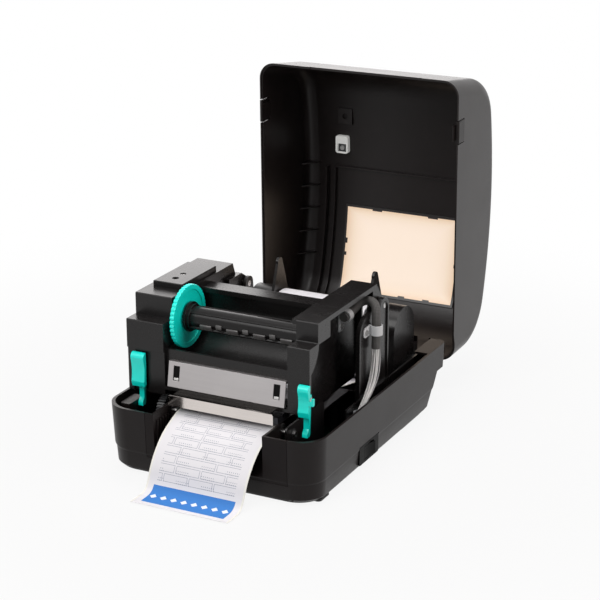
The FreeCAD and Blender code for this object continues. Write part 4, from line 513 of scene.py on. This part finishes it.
def label_print():
    """Paper with a plain printed form and a blue band. The UV map is across and along."""
    tree, shader = new_material("label_print")
    calc = partial(add_math, tree)
    colour = looks().paper
    node = place_group(
        tree, "paper_fibre", colour=rgba(colour), shade=rgba(colour, share=0.93), scale=900.0)
    place = uv_place(tree, "across_along")
    across, along, _ = split_axes(tree, place)
    form = inside(tree, across, along, *FORM)
    rims = calc("SUBTRACT", *(
        add_bricks(tree, place, CELL, gap, CELL_SHIFT, CELL_SQUASH, CELL_SQUASH_ROWS)
        for gap in CELL_GAPS))
    row = calc("FRACT", calc("DIVIDE", along, CELL[1]))
    word = calc("MULTIPLY_ADD", across, WORDS_ACROSS, calc("MULTIPLY", along, WORDS_ALONG))
    dashed = calc(
        "MULTIPLY", calc("LESS_THAN", row, DASHED_SHARE),
        calc("GREATER_THAN", calc("FRACT", word), WORD_GAP))
    dashes = calc(
        "MULTIPLY", calc("SUBTRACT", 1.0, add_bricks(tree, place, DASH, DASH_GAP)), dashed)
    marks = calc(
        "MAXIMUM", calc("MULTIPLY", rims, RIM_STRENGTH), calc("MULTIPLY", dashes, DASH_STRENGTH))
    printed = add_mix(tree, calc("MULTIPLY", marks, form), node.outputs["Colour"], INK_TONE)
    step = calc("FRACT", calc("DIVIDE", calc("SUBTRACT", across, BAND[0][0]), DIAMOND_PITCH))
    aside = calc("MULTIPLY", calc("ABSOLUTE", calc("SUBTRACT", step, 0.5)), DIAMOND_PITCH)
    above = calc("ABSOLUTE", calc("SUBTRACT", along, DIAMOND_ALONG))
    diamonds = calc("LESS_THAN", calc("ADD", aside, above), DIAMOND_HALF)
    blue = add_mix(tree, diamonds, rgba(looks().band), DIAMOND_TONE)
    label = add_mix(tree, inside(tree, across, along, *BAND), printed, blue)
    liner = calc("SUBTRACT", 1.0, between(tree, across, *LABEL_ACROSS))
    shown = add_mix(tree, liner, label, LINER_TONE)
    link_surface(tree, shader, node, strength=0.10, distance=FIBRE_DEPTH, colour=shown)


def window_material():
    """Cream pane with a dark flange and the dark tips of the clips that hold it."""
    tree, shader = new_material("window_cream")
    calc = partial(add_math, tree)
    low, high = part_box("cover_window")
    coords = tree.nodes.new("ShaderNodeTexCoord")
    across, _, rise = split_axes(tree, coords.outputs["Object"])
    x0, x1 = low.x + WINDOW_RIM, high.x - WINDOW_RIM
    z0, z1 = low.z + WINDOW_RIM, high.z - WINDOW_RIM
    dark = calc("SUBTRACT", 1.0, inside(tree, across, rise, (x0, x1), (z0, z1)))
    for side, where, width in WINDOW_CLIPS:
        reach = CLIP_REACH[side]
        if side in ("top", "bottom"):
            middle = x0 + (x1 - x0) * where
            span_x = (middle - width, middle + width)
            span_z = (z1 - reach, z1) if side == "top" else (z0, z0 + reach)
        else:
            middle = z0 + (z1 - z0) * where
            span_x = (x0, x0 + reach) if side == "left" else (x1 - reach, x1)
            span_z = (middle - width, middle + width)
        dark = calc("MAXIMUM", dark, inside(tree, across, rise, span_x, span_z))
    edges = []
    for value, start, end in ((across, x0, x1), (rise, z0, z1)):
        off = calc(
            "MULTIPLY_ADD", value, 2 / (end - start), -(start + end) / (end - start))
        edges.append(calc("POWER", calc("ABSOLUTE", off), WINDOW_EDGE_POWER))
    colour = looks().window
    node = place_group(
        tree, "moulded_surface", colour=rgba(colour), rubbed=rgba(colour, share=0.95),
        grain_scale=900.0, roughness=0.38, spread=0.1)
    edge_tone = rgba([c * share for c, share in zip(colour, WINDOW_EDGE_TINT)])
    tinted = add_mix(tree, calc("MAXIMUM", *edges), node.outputs["Colour"], edge_tone)
    shown = add_mix(tree, dark, tinted, rgba(looks().case, share=0.6))
    skin = add_mix(tree, WINDOW_SKIN, BLACK, shown)
    link_surface(tree, shader, node, strength=0.06, distance=GRAIN_DEPTH, colour=skin)
    # Painted glow: the inner side shines in the pane's own colours, standing in for light
    # through the pane
    _, facing, _ = split_axes(tree, coords.outputs["Normal"])
    glow = add_mix(tree, calc("LESS_THAN", facing, 0.0), BLACK, shown)
    tree.links.new(glow, shader.inputs["Emission Color"])
    shader.inputs["Emission Strength"].default_value = WINDOW_PAINTED_GLOW


def light_material():
    """Clear white light guide whose lower half is a dark screw flange inside a white rim."""
    tree, shader = new_material("light_white")
    low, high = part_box("light_guide")
    wide, tall = high.x - low.x, high.z - low.z
    across, _, rise = split_axes(tree, object_place(tree))
    flange = inside(
        tree, across, rise, (low.x + FLANGE_SIDE * wide, high.x - FLANGE_SIDE * wide),
        (low.z + FLANGE_FOOT * tall, low.z + FLANGE_TOP * tall))
    node = place_group(
        tree, "moulded_surface", colour=(0.80, 0.80, 0.78, 1), rubbed=(0.76, 0.76, 0.74, 1),
        grain_scale=900.0, roughness=0.30, spread=0.08)
    shown = add_mix(tree, flange, node.outputs["Colour"], FLANGE_TONE)
    link_surface(tree, shader, node, strength=0.05, distance=GRAIN_DEPTH, colour=shown)
    # Painted glow: the guide shines in its own white and its flange's dark tone
    tree.links.new(shown, shader.inputs["Emission Color"])
    shader.inputs["Emission Strength"].default_value = GUIDE_PAINTED_GLOW


def board_material():
    """Green lacquer of the main board."""
    tree, shader = new_material("board_green")
    node = place_group(
        tree, "moulded_surface", colour=(0.008, 0.05, 0.025, 1), rubbed=(0.02, 0.08, 0.04, 1),
        grain_scale=400.0, roughness=0.32, spread=0.1)
    link_surface(tree, shader, node, strength=0.1, distance=GRAIN_DEPTH)


def braid_material():
    """Woven sleeve. The UV map runs along and round the sleeve."""
    tree, shader = new_material("sleeve_braid")
    calc = partial(add_math, tree)
    along, around, _ = split_axes(tree, uv_place(tree, "along_round"))
    waves = []
    for strands in (BRAID_ROUND, -BRAID_ROUND):
        turn = calc("MULTIPLY_ADD", around, strands, calc("MULTIPLY", along, BRAID_ALONG))
        waves.append(calc("SINE", calc("MULTIPLY", turn, 2 * math.pi)))
    weave = calc("MULTIPLY_ADD", calc("MULTIPLY", *waves), 0.5, 0.5)
    # Real weave pattern; the strands' lighter tone in it is painted highlight
    tree.links.new(
        add_mix(tree, weave, BRAID_GAP_TONE, BRAID_STRAND_HIGHLIGHT), shader.inputs["Base Color"])
    roughness = calc("MULTIPLY_ADD", weave, BRAID_SWING, BRAID_ROUGHNESS)
    tree.links.new(roughness, shader.inputs["Roughness"])
    link_bump(tree, shader, weave, strength=0.8, distance=BRAID_DEPTH)


def build_materials():
    moulded_group()
    brushed_group()
    fibre_group()
    tones = looks()
    # The casing
    casing = {"grain": 1700.0, "strength": 0.30, "spread": 0.10}
    plastic("case_black", tones.case, roughness=0.36, shine=0.18, **casing)
    # Painted light: the cover is the base's plastic, its black made 1.35 times lighter
    plastic("cover_black_painted_lighter", rgba(tones.case, share=1.35), roughness=0.34, shine=0.27, **casing)
    plastic("panel_black", tones.case, roughness=0.40, shine=0.12, **casing)
    window_material()
    light_material()
    plastic("socket_black", (0.005, 0.005, 0.005), roughness=0.40, grain=1100.0,
            strength=0.12, shine=0.05)
    plastic("foot_rubber", (0.022, 0.022, 0.022), roughness=0.78, grain=800.0, strength=0.35)
    # The mechanism
    plastic("mechanism_black", tones.mechanism, roughness=0.27, grain=1300.0, strength=0.18,
            spread=0.14, shine=0.32)
    spindle = {"grain": 1300.0, "strength": 0.10, "spread": 0.10}
    plastic("spindle_black", tones.mechanism, roughness=0.22, shine=0.22, **spindle)
    # Painted highlight: the spindle's fingers are its black plastic, made grey for the light on
    # their edges
    plastic("finger_grey_painted_highlight", (0.10, 0.096, 0.095), roughness=0.28, **spindle)
    plastic("teal_plastic", tones.teal, roughness=0.34, grain=1200.0, strength=0.10,
            spread=0.10, rub=1.15, coat=0.15)
    plastic("plate_black", tones.mechanism, roughness=0.40, grain=900.0, strength=0.15)
    plastic("gear_black", (0.03, 0.03, 0.032), roughness=0.42, grain=1000.0, strength=0.1,
            spread=0.1)
    plastic("platen_rubber", (0.035, 0.034, 0.034), roughness=0.68, grain=1600.0,
            strength=0.25)
    plastic("motor_grey", (0.09, 0.09, 0.10), roughness=0.38, grain=900.0, strength=0.15)
    metal("plate_steel", tones.plate, roughness=0.40, strength=0.08, depth=0.08)
    metal("bar_chrome", (0.66, 0.61, 0.58), roughness=0.14, strength=0.03, depth=0.06)
    metal("pin_steel", (0.56, 0.55, 0.54), roughness=0.28)
    metal("sink_alloy", (0.05, 0.05, 0.055), roughness=0.45)
    board_material()
    # The harness
    braid_material()
    wire = {"grain": 1500.0, "strength": 0.05, "spread": 0.08}
    plastic("wire_white", (0.74, 0.73, 0.72), roughness=0.42, rub=0.9, **wire)
    plastic("wire_grey", (0.42, 0.42, 0.43), roughness=0.42, rub=0.9, **wire)
    plastic("wire_black", (0.02, 0.02, 0.02), roughness=0.40, **wire)
    plastic("clip_grey", (0.56, 0.57, 0.58), roughness=0.40, grain=1200.0, strength=0.12,
            spread=0.1, rub=1.1)
    plastic("grommet_grey", (0.24, 0.25, 0.26), roughness=0.62, grain=900.0, strength=0.2)
    # The labels
    paper("label_paper", tones.paper, rgba(tones.paper, share=0.90))
    paper("core_card", (0.42, 0.30, 0.19), (0.33, 0.23, 0.14), scale=500.0)
    label_print()


def dress(obj, material):
    obj.data.materials.clear()
    obj.data.materials.append(bpy.data.materials[material])


# Modelling helpers

def start_clean():
    if bpy.context.object and bpy.context.object.mode != "OBJECT":
        bpy.ops.object.mode_set(mode="OBJECT")
    bpy.ops.object.select_all(action="DESELECT")


def make_active(obj):
    start_clean()
    obj.select_set(True)
    bpy.context.view_layer.objects.active = obj


def apply_modifiers(obj):
    make_active(obj)
    for modifier in list(obj.modifiers):
        bpy.ops.object.modifier_apply(modifier=modifier.name)


def apply_place():
    bpy.ops.object.transform_apply(location=True, rotation=True, scale=True)


def smooth(obj, angle):
    make_active(obj)
    bpy.ops.object.shade_smooth_by_angle(angle=math.radians(angle))


def finish_piece(obj, body, slot, *nodes):
    """Apply the place, hang the piece on its body and hide the CAD nodes that it stands for; the
    slot is not used.
    """
    make_active(obj)
    apply_place()
    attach(obj, body)
    if nodes:
        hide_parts(*nodes)


def link_object(name, data):
    obj = bpy.data.objects.new(name, data)
    bpy.context.scene.collection.objects.link(obj)
    return obj


def mesh_object(name, verts, edges, faces, uv_map=None, uvs=()):
    """Object from lists of points, edges and faces, with a UV map given face by face."""
    mesh = bpy.data.meshes.new(name)
    mesh.from_pydata(verts, edges, faces)
    if uv_map:
        layer = mesh.uv_layers.new(name=uv_map)
        for polygon, corners in zip(mesh.polygons, uvs):
            for loop, corner in zip(polygon.loop_indices, corners):
                layer.data[loop].uv = corner
    return link_object(name, mesh)


def add_box(place, size):
    start_clean()
    bpy.ops.mesh.primitive_cube_add(size=1.0, location=place)
    bpy.ops.transform.resize(value=size)
    return bpy.context.object


def join_parts(parts, name, finish):
    """One piece with slightly rounded edges from several small parts."""
    start_clean()
    for part in parts:
        part.select_set(True)
    bpy.context.view_layer.objects.active = parts[0]
    bpy.ops.object.join()
    piece = bpy.context.object
    piece.name = name
    apply_place()
    bevel = piece.modifiers.new("edge round", "BEVEL")
    bevel.width, bevel.segments = SMALL_ROUND, ROUND_SEGMENTS
    apply_modifiers(piece)
    dress(piece, finish)
    smooth(piece, SMOOTH_HARD)
    return piece


def node_surface(node):
    """Faces of a CAD node to look at along a line, also while the node is hidden."""
    mesh = NODES[node].data
    return BVHTree.FromPolygons(
        [vertex.co for vertex in mesh.vertices], [polygon.vertices for polygon in mesh.polygons])


def rounded_copy(node, width):
    """Copy of a CAD node with its edges rounded over."""
    source = NODES[node]
    piece = source.copy()
    piece.data = source.data.copy()
    piece.name = node + "_rounded"
    piece.parent = None
    for key in list(piece.keys()):
        del piece[key]
    bpy.context.scene.collection.objects.link(piece)
    make_active(piece)
    bpy.ops.mesh.customdata_custom_splitnormals_clear()
    bpy.ops.object.mode_set(mode="EDIT")
    bpy.ops.mesh.select_all(action="SELECT")
    bpy.ops.mesh.remove_doubles(threshold=1e-6)
    bpy.ops.mesh.dissolve_limited(angle_limit=math.radians(FLAT_ANGLE))
    bpy.ops.object.mode_set(mode="OBJECT")
    bevel = piece.modifiers.new("edge round", "BEVEL")
    bevel.width = width * MM
    bevel.segments = ROUND_SEGMENTS
    bevel.limit_method = "ANGLE"
    bevel.angle_limit = math.radians(ROUND_ANGLE)
    bevel.use_clamp_overlap = True
    apply_modifiers(piece)
    smooth(piece, SMOOTH_HARD)
    even = piece.modifiers.new("even shading", "WEIGHTED_NORMAL")
    even.keep_sharp = True
    apply_modifiers(piece)
    finish_piece(piece, BODY_OF[node], SLOT_OF[node], node)


def smooth_line(points, name):
    """Points read from a NURBS spline that has the given control points."""
    curve = bpy.data.curves.new(name, "CURVE")
    curve.dimensions = "3D"
    spline = curve.splines.new("NURBS")
    spline.points.add(len(points) - 1)
    for point, place in zip(spline.points, points):
        point.co = (*place, 1.0)
    spline.order_u = 3
    spline.use_endpoint_u = True
    spline.resolution_u = 10
    holder = link_object(name, curve)
    bpy.context.view_layer.update()
    depsgraph = bpy.context.evaluated_depsgraph_get()
    mesh = bpy.data.meshes.new_from_object(holder.evaluated_get(depsgraph))
    line = [vertex.co.copy() for vertex in mesh.vertices]
    bpy.data.objects.remove(holder)
    bpy.data.meshes.remove(mesh)
    return line


def line_runs(line):
    """Distance along a line from its start to each of its points."""
    runs = [0.0]
    for a, b in zip(line, line[1:]):
        runs.append(runs[-1] + (b - a).length)
    return runs


def tube_mesh(name, line, radius, sides):
    """Closed tube along a line of points, with a UV map along and round it."""
    verts, faces, uvs = [], [], []
    side = None
    runs = line_runs(line)
    for k, point in enumerate(line):
        ahead = (line[min(k + 1, len(line) - 1)] - line[max(k - 1, 0)]).normalized()
        if side is None:
            side = ahead.orthogonal().normalized()
        side = (side - ahead * side.dot(ahead)).normalized()
        up = ahead.cross(side)
        for s in range(sides):
            angle = 2 * math.pi * s / sides
            verts.append(point + (side * math.cos(angle) + up * math.sin(angle)) * radius)
    for k in range(len(line) - 1):
        for s in range(sides):
            t = (s + 1) % sides
            here, there = k * sides, (k + 1) * sides
            faces.append((here + s, here + t, there + t, there + s))
            uvs.append([(runs[k], s / sides), (runs[k], (s + 1) / sides),
                        (runs[k + 1], (s + 1) / sides), (runs[k + 1], s / sides)])
    last = (len(line) - 1) * sides
    faces.append(tuple(range(sides - 1, -1, -1)))
    faces.append(tuple(last + s for s in range(sides)))
    uvs += [[(0.0, 0.0)] * sides, [(runs[-1], 0.0)] * sides]
    return mesh_object(name, verts, [], faces, "along_round", uvs)


# Operators

class PRINTER_OT_finishes(bpy.types.Operator):
    """Give every moulded, metal and paper piece its finish"""
    bl_idname = "printer.finishes"
    bl_label = "Finishes"

    def execute(self, context):
        build_materials()
        for node, obj in NODES.items():
            dress(obj, OWN_FINISH.get(node, SLOT_OF[node]))
        return {"FINISHED"}


class PRINTER_OT_edges(bpy.types.Operator):
    """Round over the edges of the pieces that catch the light"""
    bl_idname = "printer.edges"
    bl_label = "Rounded edges"

    def execute(self, context):
        for node, width in EDGE_ROUNDS.items():
            rounded_copy(node, width)
        self.spindle_fingers()
        return {"FINISHED"}

    def spindle_fingers(self):
        """Raised spring fingers along the front of the rewind spindle."""
        low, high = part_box("rewind_spindle")
        axis = (low + high) / 2
        fingers = []
        place = FINGER_START
        while place < high.x - FINGER_END:
            long, deep, turn = FINGERS[len(fingers) % len(FINGERS)]
            fingers.append(add_box(
                (place + long / 2, axis.y, axis.z - FINGER_RADIUS), (long, deep, FINGER_THICK)))
            bpy.ops.transform.rotate(
                value=math.radians(turn), orient_axis="X",
                center_override=(place, axis.y, axis.z))
            place += long + FINGER_GAP
        # The fingers' grey is painted highlight on the spindle's black plastic
        piece = join_parts(fingers, "spindle_fingers", "finger_grey_painted_highlight")
        finish_piece(piece, "rewind", "mechanism_black")


class PRINTER_OT_cover_ribs(bpy.types.Operator):
    """Short stiffening ribs down the left inner corner of the cover"""
    bl_idname = "printer.cover_ribs"
    bl_label = "Cover ribs"

    def execute(self, context):
        guide_low, guide_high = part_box("light_guide")
        top = (guide_low.z + guide_high.z) / 2 - RIB_DROP
        shell = node_surface("cover_shell")
        ribs = [self.rib(shell, top - k * RIB_PITCH) for k in range(RIB_COUNT)]
        # The ribs take the cover's black that is painted lighter
        piece = join_parts(ribs, "cover_corner_ribs", "cover_black_painted_lighter")
        finish_piece(piece, BODY_OF["cover_shell"], "case_black")
        return {"FINISHED"}

    def rib(self, shell, level):
        """One rib: the inner corner's curve closed by a straight edge, given its thickness."""
        low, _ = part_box("cover_shell")
        eye = Vector((low.x + RIB_REACH, low.y + RIB_REACH, level))
        eye.y = self.wall(shell, eye, BACKWARD).y - RIB_REACH
        curve = []
        for turn in RIB_TURNS:
            look = Vector((math.cos(math.radians(turn)), math.sin(math.radians(turn)), 0))
            curve.append(self.wall(shell, eye, look) + look * RIB_BITE)
        rib = mesh_object("cover_rib", curve, [], [tuple(range(len(curve)))])
        make_active(rib)
        bpy.ops.object.mode_set(mode="EDIT")
        bpy.ops.mesh.select_all(action="SELECT")
        bpy.ops.mesh.extrude_region_move(TRANSFORM_OT_translate={"value": (0, 0, RIB_THICK)})
        bpy.ops.mesh.select_all(action="SELECT")
        bpy.ops.mesh.normals_make_consistent(inside=False)
        bpy.ops.object.mode_set(mode="OBJECT")
        return rib

    def wall(self, shell, eye, look):
        place = shell.ray_cast(eye, look)[0]
        if place is None:
            raise RuntimeError("No cover wall found for a rib at height %.3f" % eye.z)
        return place


class PRINTER_OT_plate_slots(bpy.types.Operator):
    """Painted shade: dark boxes behind the two slots of the head plate, each with a bright tab
    at its foot
    """
    bl_idname = "printer.plate_slots"
    bl_label = "Plate slots"

    def execute(self, context):
        low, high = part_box("head_cover_plate")
        plate = node_surface("head_cover_plate")
        shade_boxes, tabs = [], []
        for across in (low.x + SLOT_IN, high.x - SLOT_IN):
            # The dark boxes are painted shade in the hollows behind the slots
            for (size, behind, drop), parts in ((SLOT_SHADE_BOX, shade_boxes), (SLOT_TAB, tabs)):
                part = add_box((across, 0, high.z - drop), size)
                apply_place()
                for vertex in part.data.vertices:
                    vertex.co.y += self.face(plate, across, low.y, vertex.co.z) + behind
                parts.append(part)
        for parts, name, finish in (
                (shade_boxes, "slot_painted_shade", "socket_black"), (tabs, "slot_tabs", "pin_steel")):
            finish_piece(join_parts(parts, name, finish), "print_module", finish)
        return {"FINISHED"}

    def face(self, plate, across, before, level):
        """Depth of the plate's leaning face beside a slot, at a height."""
        eye = Vector((across - SLOT_BESIDE, before - SLOT_LOOK, level))
        place = plate.ray_cast(eye, BACKWARD)[0]
        if place is None:
            raise RuntimeError("The head plate has no face beside its slot")
        return place.y


class PRINTER_OT_harness(bpy.types.Operator):
    """Braided sleeve from the print module to the upright, and the loose wires below it"""
    bl_idname = "printer.harness"
    bl_label = "Harness"

    def execute(self, context):
        self.sleeve()
        self.wires()
        return {"FINISHED"}

    def sleeve(self):
        """Sleeve along a fixed curve between the base and the print module."""
        sleeve_line = smooth_line(SLEEVE_ROUTE, "sleeve_line")
        sleeve = tube_mesh("braided_sleeve", sleeve_line, sizes().sleeve_radius, SLEEVE_SIDES)
        dress(sleeve, "sleeve_braid")
        smooth(sleeve, SMOOTH_SOFT)
        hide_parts("harness_sleeve")
        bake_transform(sleeve)

    def wires(self):
        """Loose wires from the sleeve's end down into the grommet."""
        x, y, z = (v / MM for v in SLEEVE_ROUTE[-1])
        low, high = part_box("wire_grommet")
        foot_x, foot_y = (low.x + high.x) / 2 / MM, (low.y + high.y) / 2 / MM
        foot_wide, foot_deep, foot_drop = WIRE_FOOT
        for k, (dx, dy, colour) in enumerate(WIRES):
            bulge = WIRE_BULGE * (k - len(WIRES) // 2)
            route = [
                (x + dx * wide + shift_x, y + dy * deep + shift_y + bulge * share, z - drop)
                for wide, deep, shift_x, shift_y, share, drop in WIRE_STATIONS]
            route.append(
                (foot_x + dx * foot_wide, foot_y + dy * foot_deep, high.z / MM - foot_drop))
            line = smooth_line([tuple(v * MM for v in p) for p in route], "wire_line")
            wire = tube_mesh(
                "harness_wire_%d" % (k + 1), line, sizes().wire_radius, WIRE_SIDES)
            dress(wire, colour)
            smooth(wire, SMOOTH_SOFT)
            finish_piece(wire, "base", "wire_grey", "harness_wires")


class PRINTER_OT_labels(bpy.types.Operator):
    """Wound label roll and the printed strip that feeds from it"""
    bl_idname = "printer.labels"
    bl_label = "Labels"

    def execute(self, context):
        self.strip()
        self.roll()
        return {"FINISHED"}

    def strip(self):
        """Strip from the roll to its free end, from which the print is laid out."""
        line = smooth_line([(STRIP_X, y, z) for y, z in STRIP_ROUTE], "strip_line")
        width = sizes().strip_width
        runs = line_runs(line)
        total = runs[-1]
        marks = [width * c / STRIP_COLUMNS for c in range(STRIP_COLUMNS + 1)]
        verts = [
            (STRIP_X - width / 2 + mark, point.y, point.z) for point in line for mark in marks]
        faces, uvs = [], []
        for k in range(len(line) - 1):
            here, there = total - runs[k], total - runs[k + 1]
            for c in range(STRIP_COLUMNS):
                a = k * len(marks) + c
                faces.append((a, a + len(marks), a + len(marks) + 1, a + 1))
                uvs.append([(marks[c], here), (marks[c], there),
                            (marks[c + 1], there), (marks[c + 1], here)])
        web = mesh_object("label_web", verts, [], faces, "across_along", uvs)
        dress(web, "label_print")
        solid = web.modifiers.new("thickness", "SOLIDIFY")
        solid.thickness = sizes().strip_thickness
        solid.offset = -1.0 if web.data.polygons[0].normal.z < 0 else 1.0
        apply_modifiers(web)
        smooth(web, SMOOTH_SOFT)
        finish_piece(web, "base", "label_paper", "label_strip")

    def roll(self):
        """Roll whose two faces show the wound layers."""
        low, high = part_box("label_roll")
        core_low, core_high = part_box("roll_core")
        middle = (low + high) / 2
        outer, inner = (high.z - low.z) / 2, (core_high.z - core_low.z) / 2
        half = (high.x - low.x) / 2
        profile = []
        for k in range(ROLL_LAYERS * 2 + 1):
            radius = inner + (outer - inner) * k / (ROLL_LAYERS * 2)
            profile.append((-half + (0.0 if k % 2 else ROLL_STAGGER), radius))
        profile += [(-x, radius) for x, radius in reversed(profile)]
        verts = [(middle.x + x, middle.y, middle.z + radius) for x, radius in profile]
        edges = [(k, (k + 1) % len(verts)) for k in range(len(verts))]
        roll = mesh_object("wound_labels", verts, edges, [])
        make_active(roll)
        bpy.ops.object.mode_set(mode="EDIT")
        bpy.ops.mesh.select_all(action="SELECT")
        bpy.ops.mesh.spin(steps=ROLL_STEPS, angle=2 * math.pi, center=middle, axis=(1, 0, 0))
        bpy.ops.mesh.select_all(action="SELECT")
        bpy.ops.mesh.remove_doubles(threshold=1e-5)
        bpy.ops.mesh.normals_make_consistent(inside=False)
        bpy.ops.object.mode_set(mode="OBJECT")
        dress(roll, "label_paper")
        smooth(roll, SMOOTH_WOUND)
        finish_piece(roll, "media_roll", "label_paper", "label_roll")


class PRINTER_OT_stage(bpy.types.Operator):
    """Pale floor, soft studio light and the camera"""
    bl_idname = "printer.stage"
    bl_label = "Stage"

    def execute(self, context):
        self.floor()
        self.lamps()
        self.world()
        self.camera()
        return {"FINISHED"}

    def floor(self):
        """Floor that is seen nearly white, with a faint shadow round the printer."""
        start_clean()
        bpy.ops.mesh.primitive_plane_add(size=FLOOR_SIZE, location=(0.0, 0.0, FLOOR_LEVEL))
        floor = bpy.context.object
        floor.name = "studio_floor"
        bpy.ops.object.transform_apply(location=True)
        tree, shader = new_material("studio_floor")
        shader.inputs["Base Color"].default_value = FLOOR_TONE
        shader.inputs["Roughness"].default_value = FLOOR_ROUGHNESS
        shader.inputs["Specular IOR Level"].default_value = FLOOR_SHINE
        distance = tree.nodes.new("ShaderNodeVectorMath")
        distance.operation = "LENGTH"
        tree.links.new(object_place(tree), distance.inputs[0])
        fade = tree.nodes.new("ShaderNodeMapRange")
        fade.interpolation_type = "SMOOTHSTEP"
        for label, value in FLOOR_FADE.items():
            fade.inputs[label].default_value = value
        tree.links.new(distance.outputs["Value"], fade.inputs["Value"])
        white = add_math(tree, "MULTIPLY", surround_rays(tree), fade.outputs["Result"])
        glow = tree.nodes.new("ShaderNodeEmission")
        mix = mix_shaders(tree, white, shader.outputs[0], glow.outputs[0])
        tree.links.new(mix, tree.nodes["Material Output"].inputs["Surface"])
        dress(floor, "studio_floor")

    def lamps(self):
        for name, (place, size, power, tone) in LAMPS.items():
            data = bpy.data.lights.new(name, "AREA")
            data.size = size
            data.energy = power
            data.color = tone
            lamp = link_object(name, data)
            lamp.location = place
            lamp.rotation_euler = (
                LAMP_AIM - Vector(place)).to_track_quat("-Z", "Y").to_euler()

    def world(self):
        """Soft light from all round, and white where the surround is seen."""
        world = bpy.data.worlds.new("studio")
        world.use_nodes = True
        bpy.context.scene.world = world
        tree = world.node_tree
        tree.nodes.clear()
        shades = []
        for colour, strength in WORLD_SHADES:
            shade = tree.nodes.new("ShaderNodeBackground")
            shade.inputs["Color"].default_value = colour
            shade.inputs["Strength"].default_value = strength
            shades.append(shade.outputs[0])
        out = tree.nodes.new("ShaderNodeOutputWorld")
        tree.links.new(mix_shaders(tree, surround_rays(tree), *shades), out.inputs["Surface"])

    def camera(self):
        data = bpy.data.cameras.new("photo_camera")
        data.sensor_width = CAMERA_SENSOR
        data.lens = sizes().camera_lens
        data.clip_end = CAMERA_FAR
        camera = link_object("photo_camera", data)
        camera.location = CAMERA_PLACE
        camera.rotation_euler = (
            math.radians(90 - CAMERA_DOWN), math.radians(CAMERA_ROLL), math.radians(CAMERA_TURN))
        bpy.context.scene.camera = camera
        bpy.context.scene.view_settings.view_transform = "Standard"


class PRINTER_PT_panel(bpy.types.Panel):
    """Sizes, colours and steps of the label printer"""
    bl_idname = "PRINTER_PT_panel"
    bl_label = "Label Printer"
    bl_space_type = "VIEW_3D"
    bl_region_type = "UI"
    bl_category = "Printer"

    def draw(self, context):
        layout = self.layout
        for group in (context.scene.printer_finishes, context.scene.printer_sizes):
            for key in group.__annotations__:
                layout.prop(group, key)
        for step in STEPS:
            layout.operator(step.bl_idname)


STEPS = [
    PRINTER_OT_finishes, PRINTER_OT_edges, PRINTER_OT_cover_ribs, PRINTER_OT_plate_slots,
    PRINTER_OT_harness, PRINTER_OT_labels, PRINTER_OT_stage]
CLASSES = [PrinterFinishes, PrinterSizes] + STEPS + [PRINTER_PT_panel]


def register():
    for cls in CLASSES:
        bpy.utils.register_class(cls)
    bpy.types.Scene.printer_finishes = bpy.props.PointerProperty(type=PrinterFinishes)
    bpy.types.Scene.printer_sizes = bpy.props.PointerProperty(type=PrinterSizes)


def unregister():
    del bpy.types.Scene.printer_sizes
    del bpy.types.Scene.printer_finishes
    for cls in reversed(CLASSES):
        bpy.utils.unregister_class(cls)


def main():
    register()
    bpy.ops.printer.finishes()
    bpy.ops.printer.edges()
    bpy.ops.printer.cover_ribs()
    bpy.ops.printer.plate_slots()
    bpy.ops.printer.harness()
    bpy.ops.printer.labels()
    bpy.ops.printer.stage()


if __name__ == "__main__":
    main()
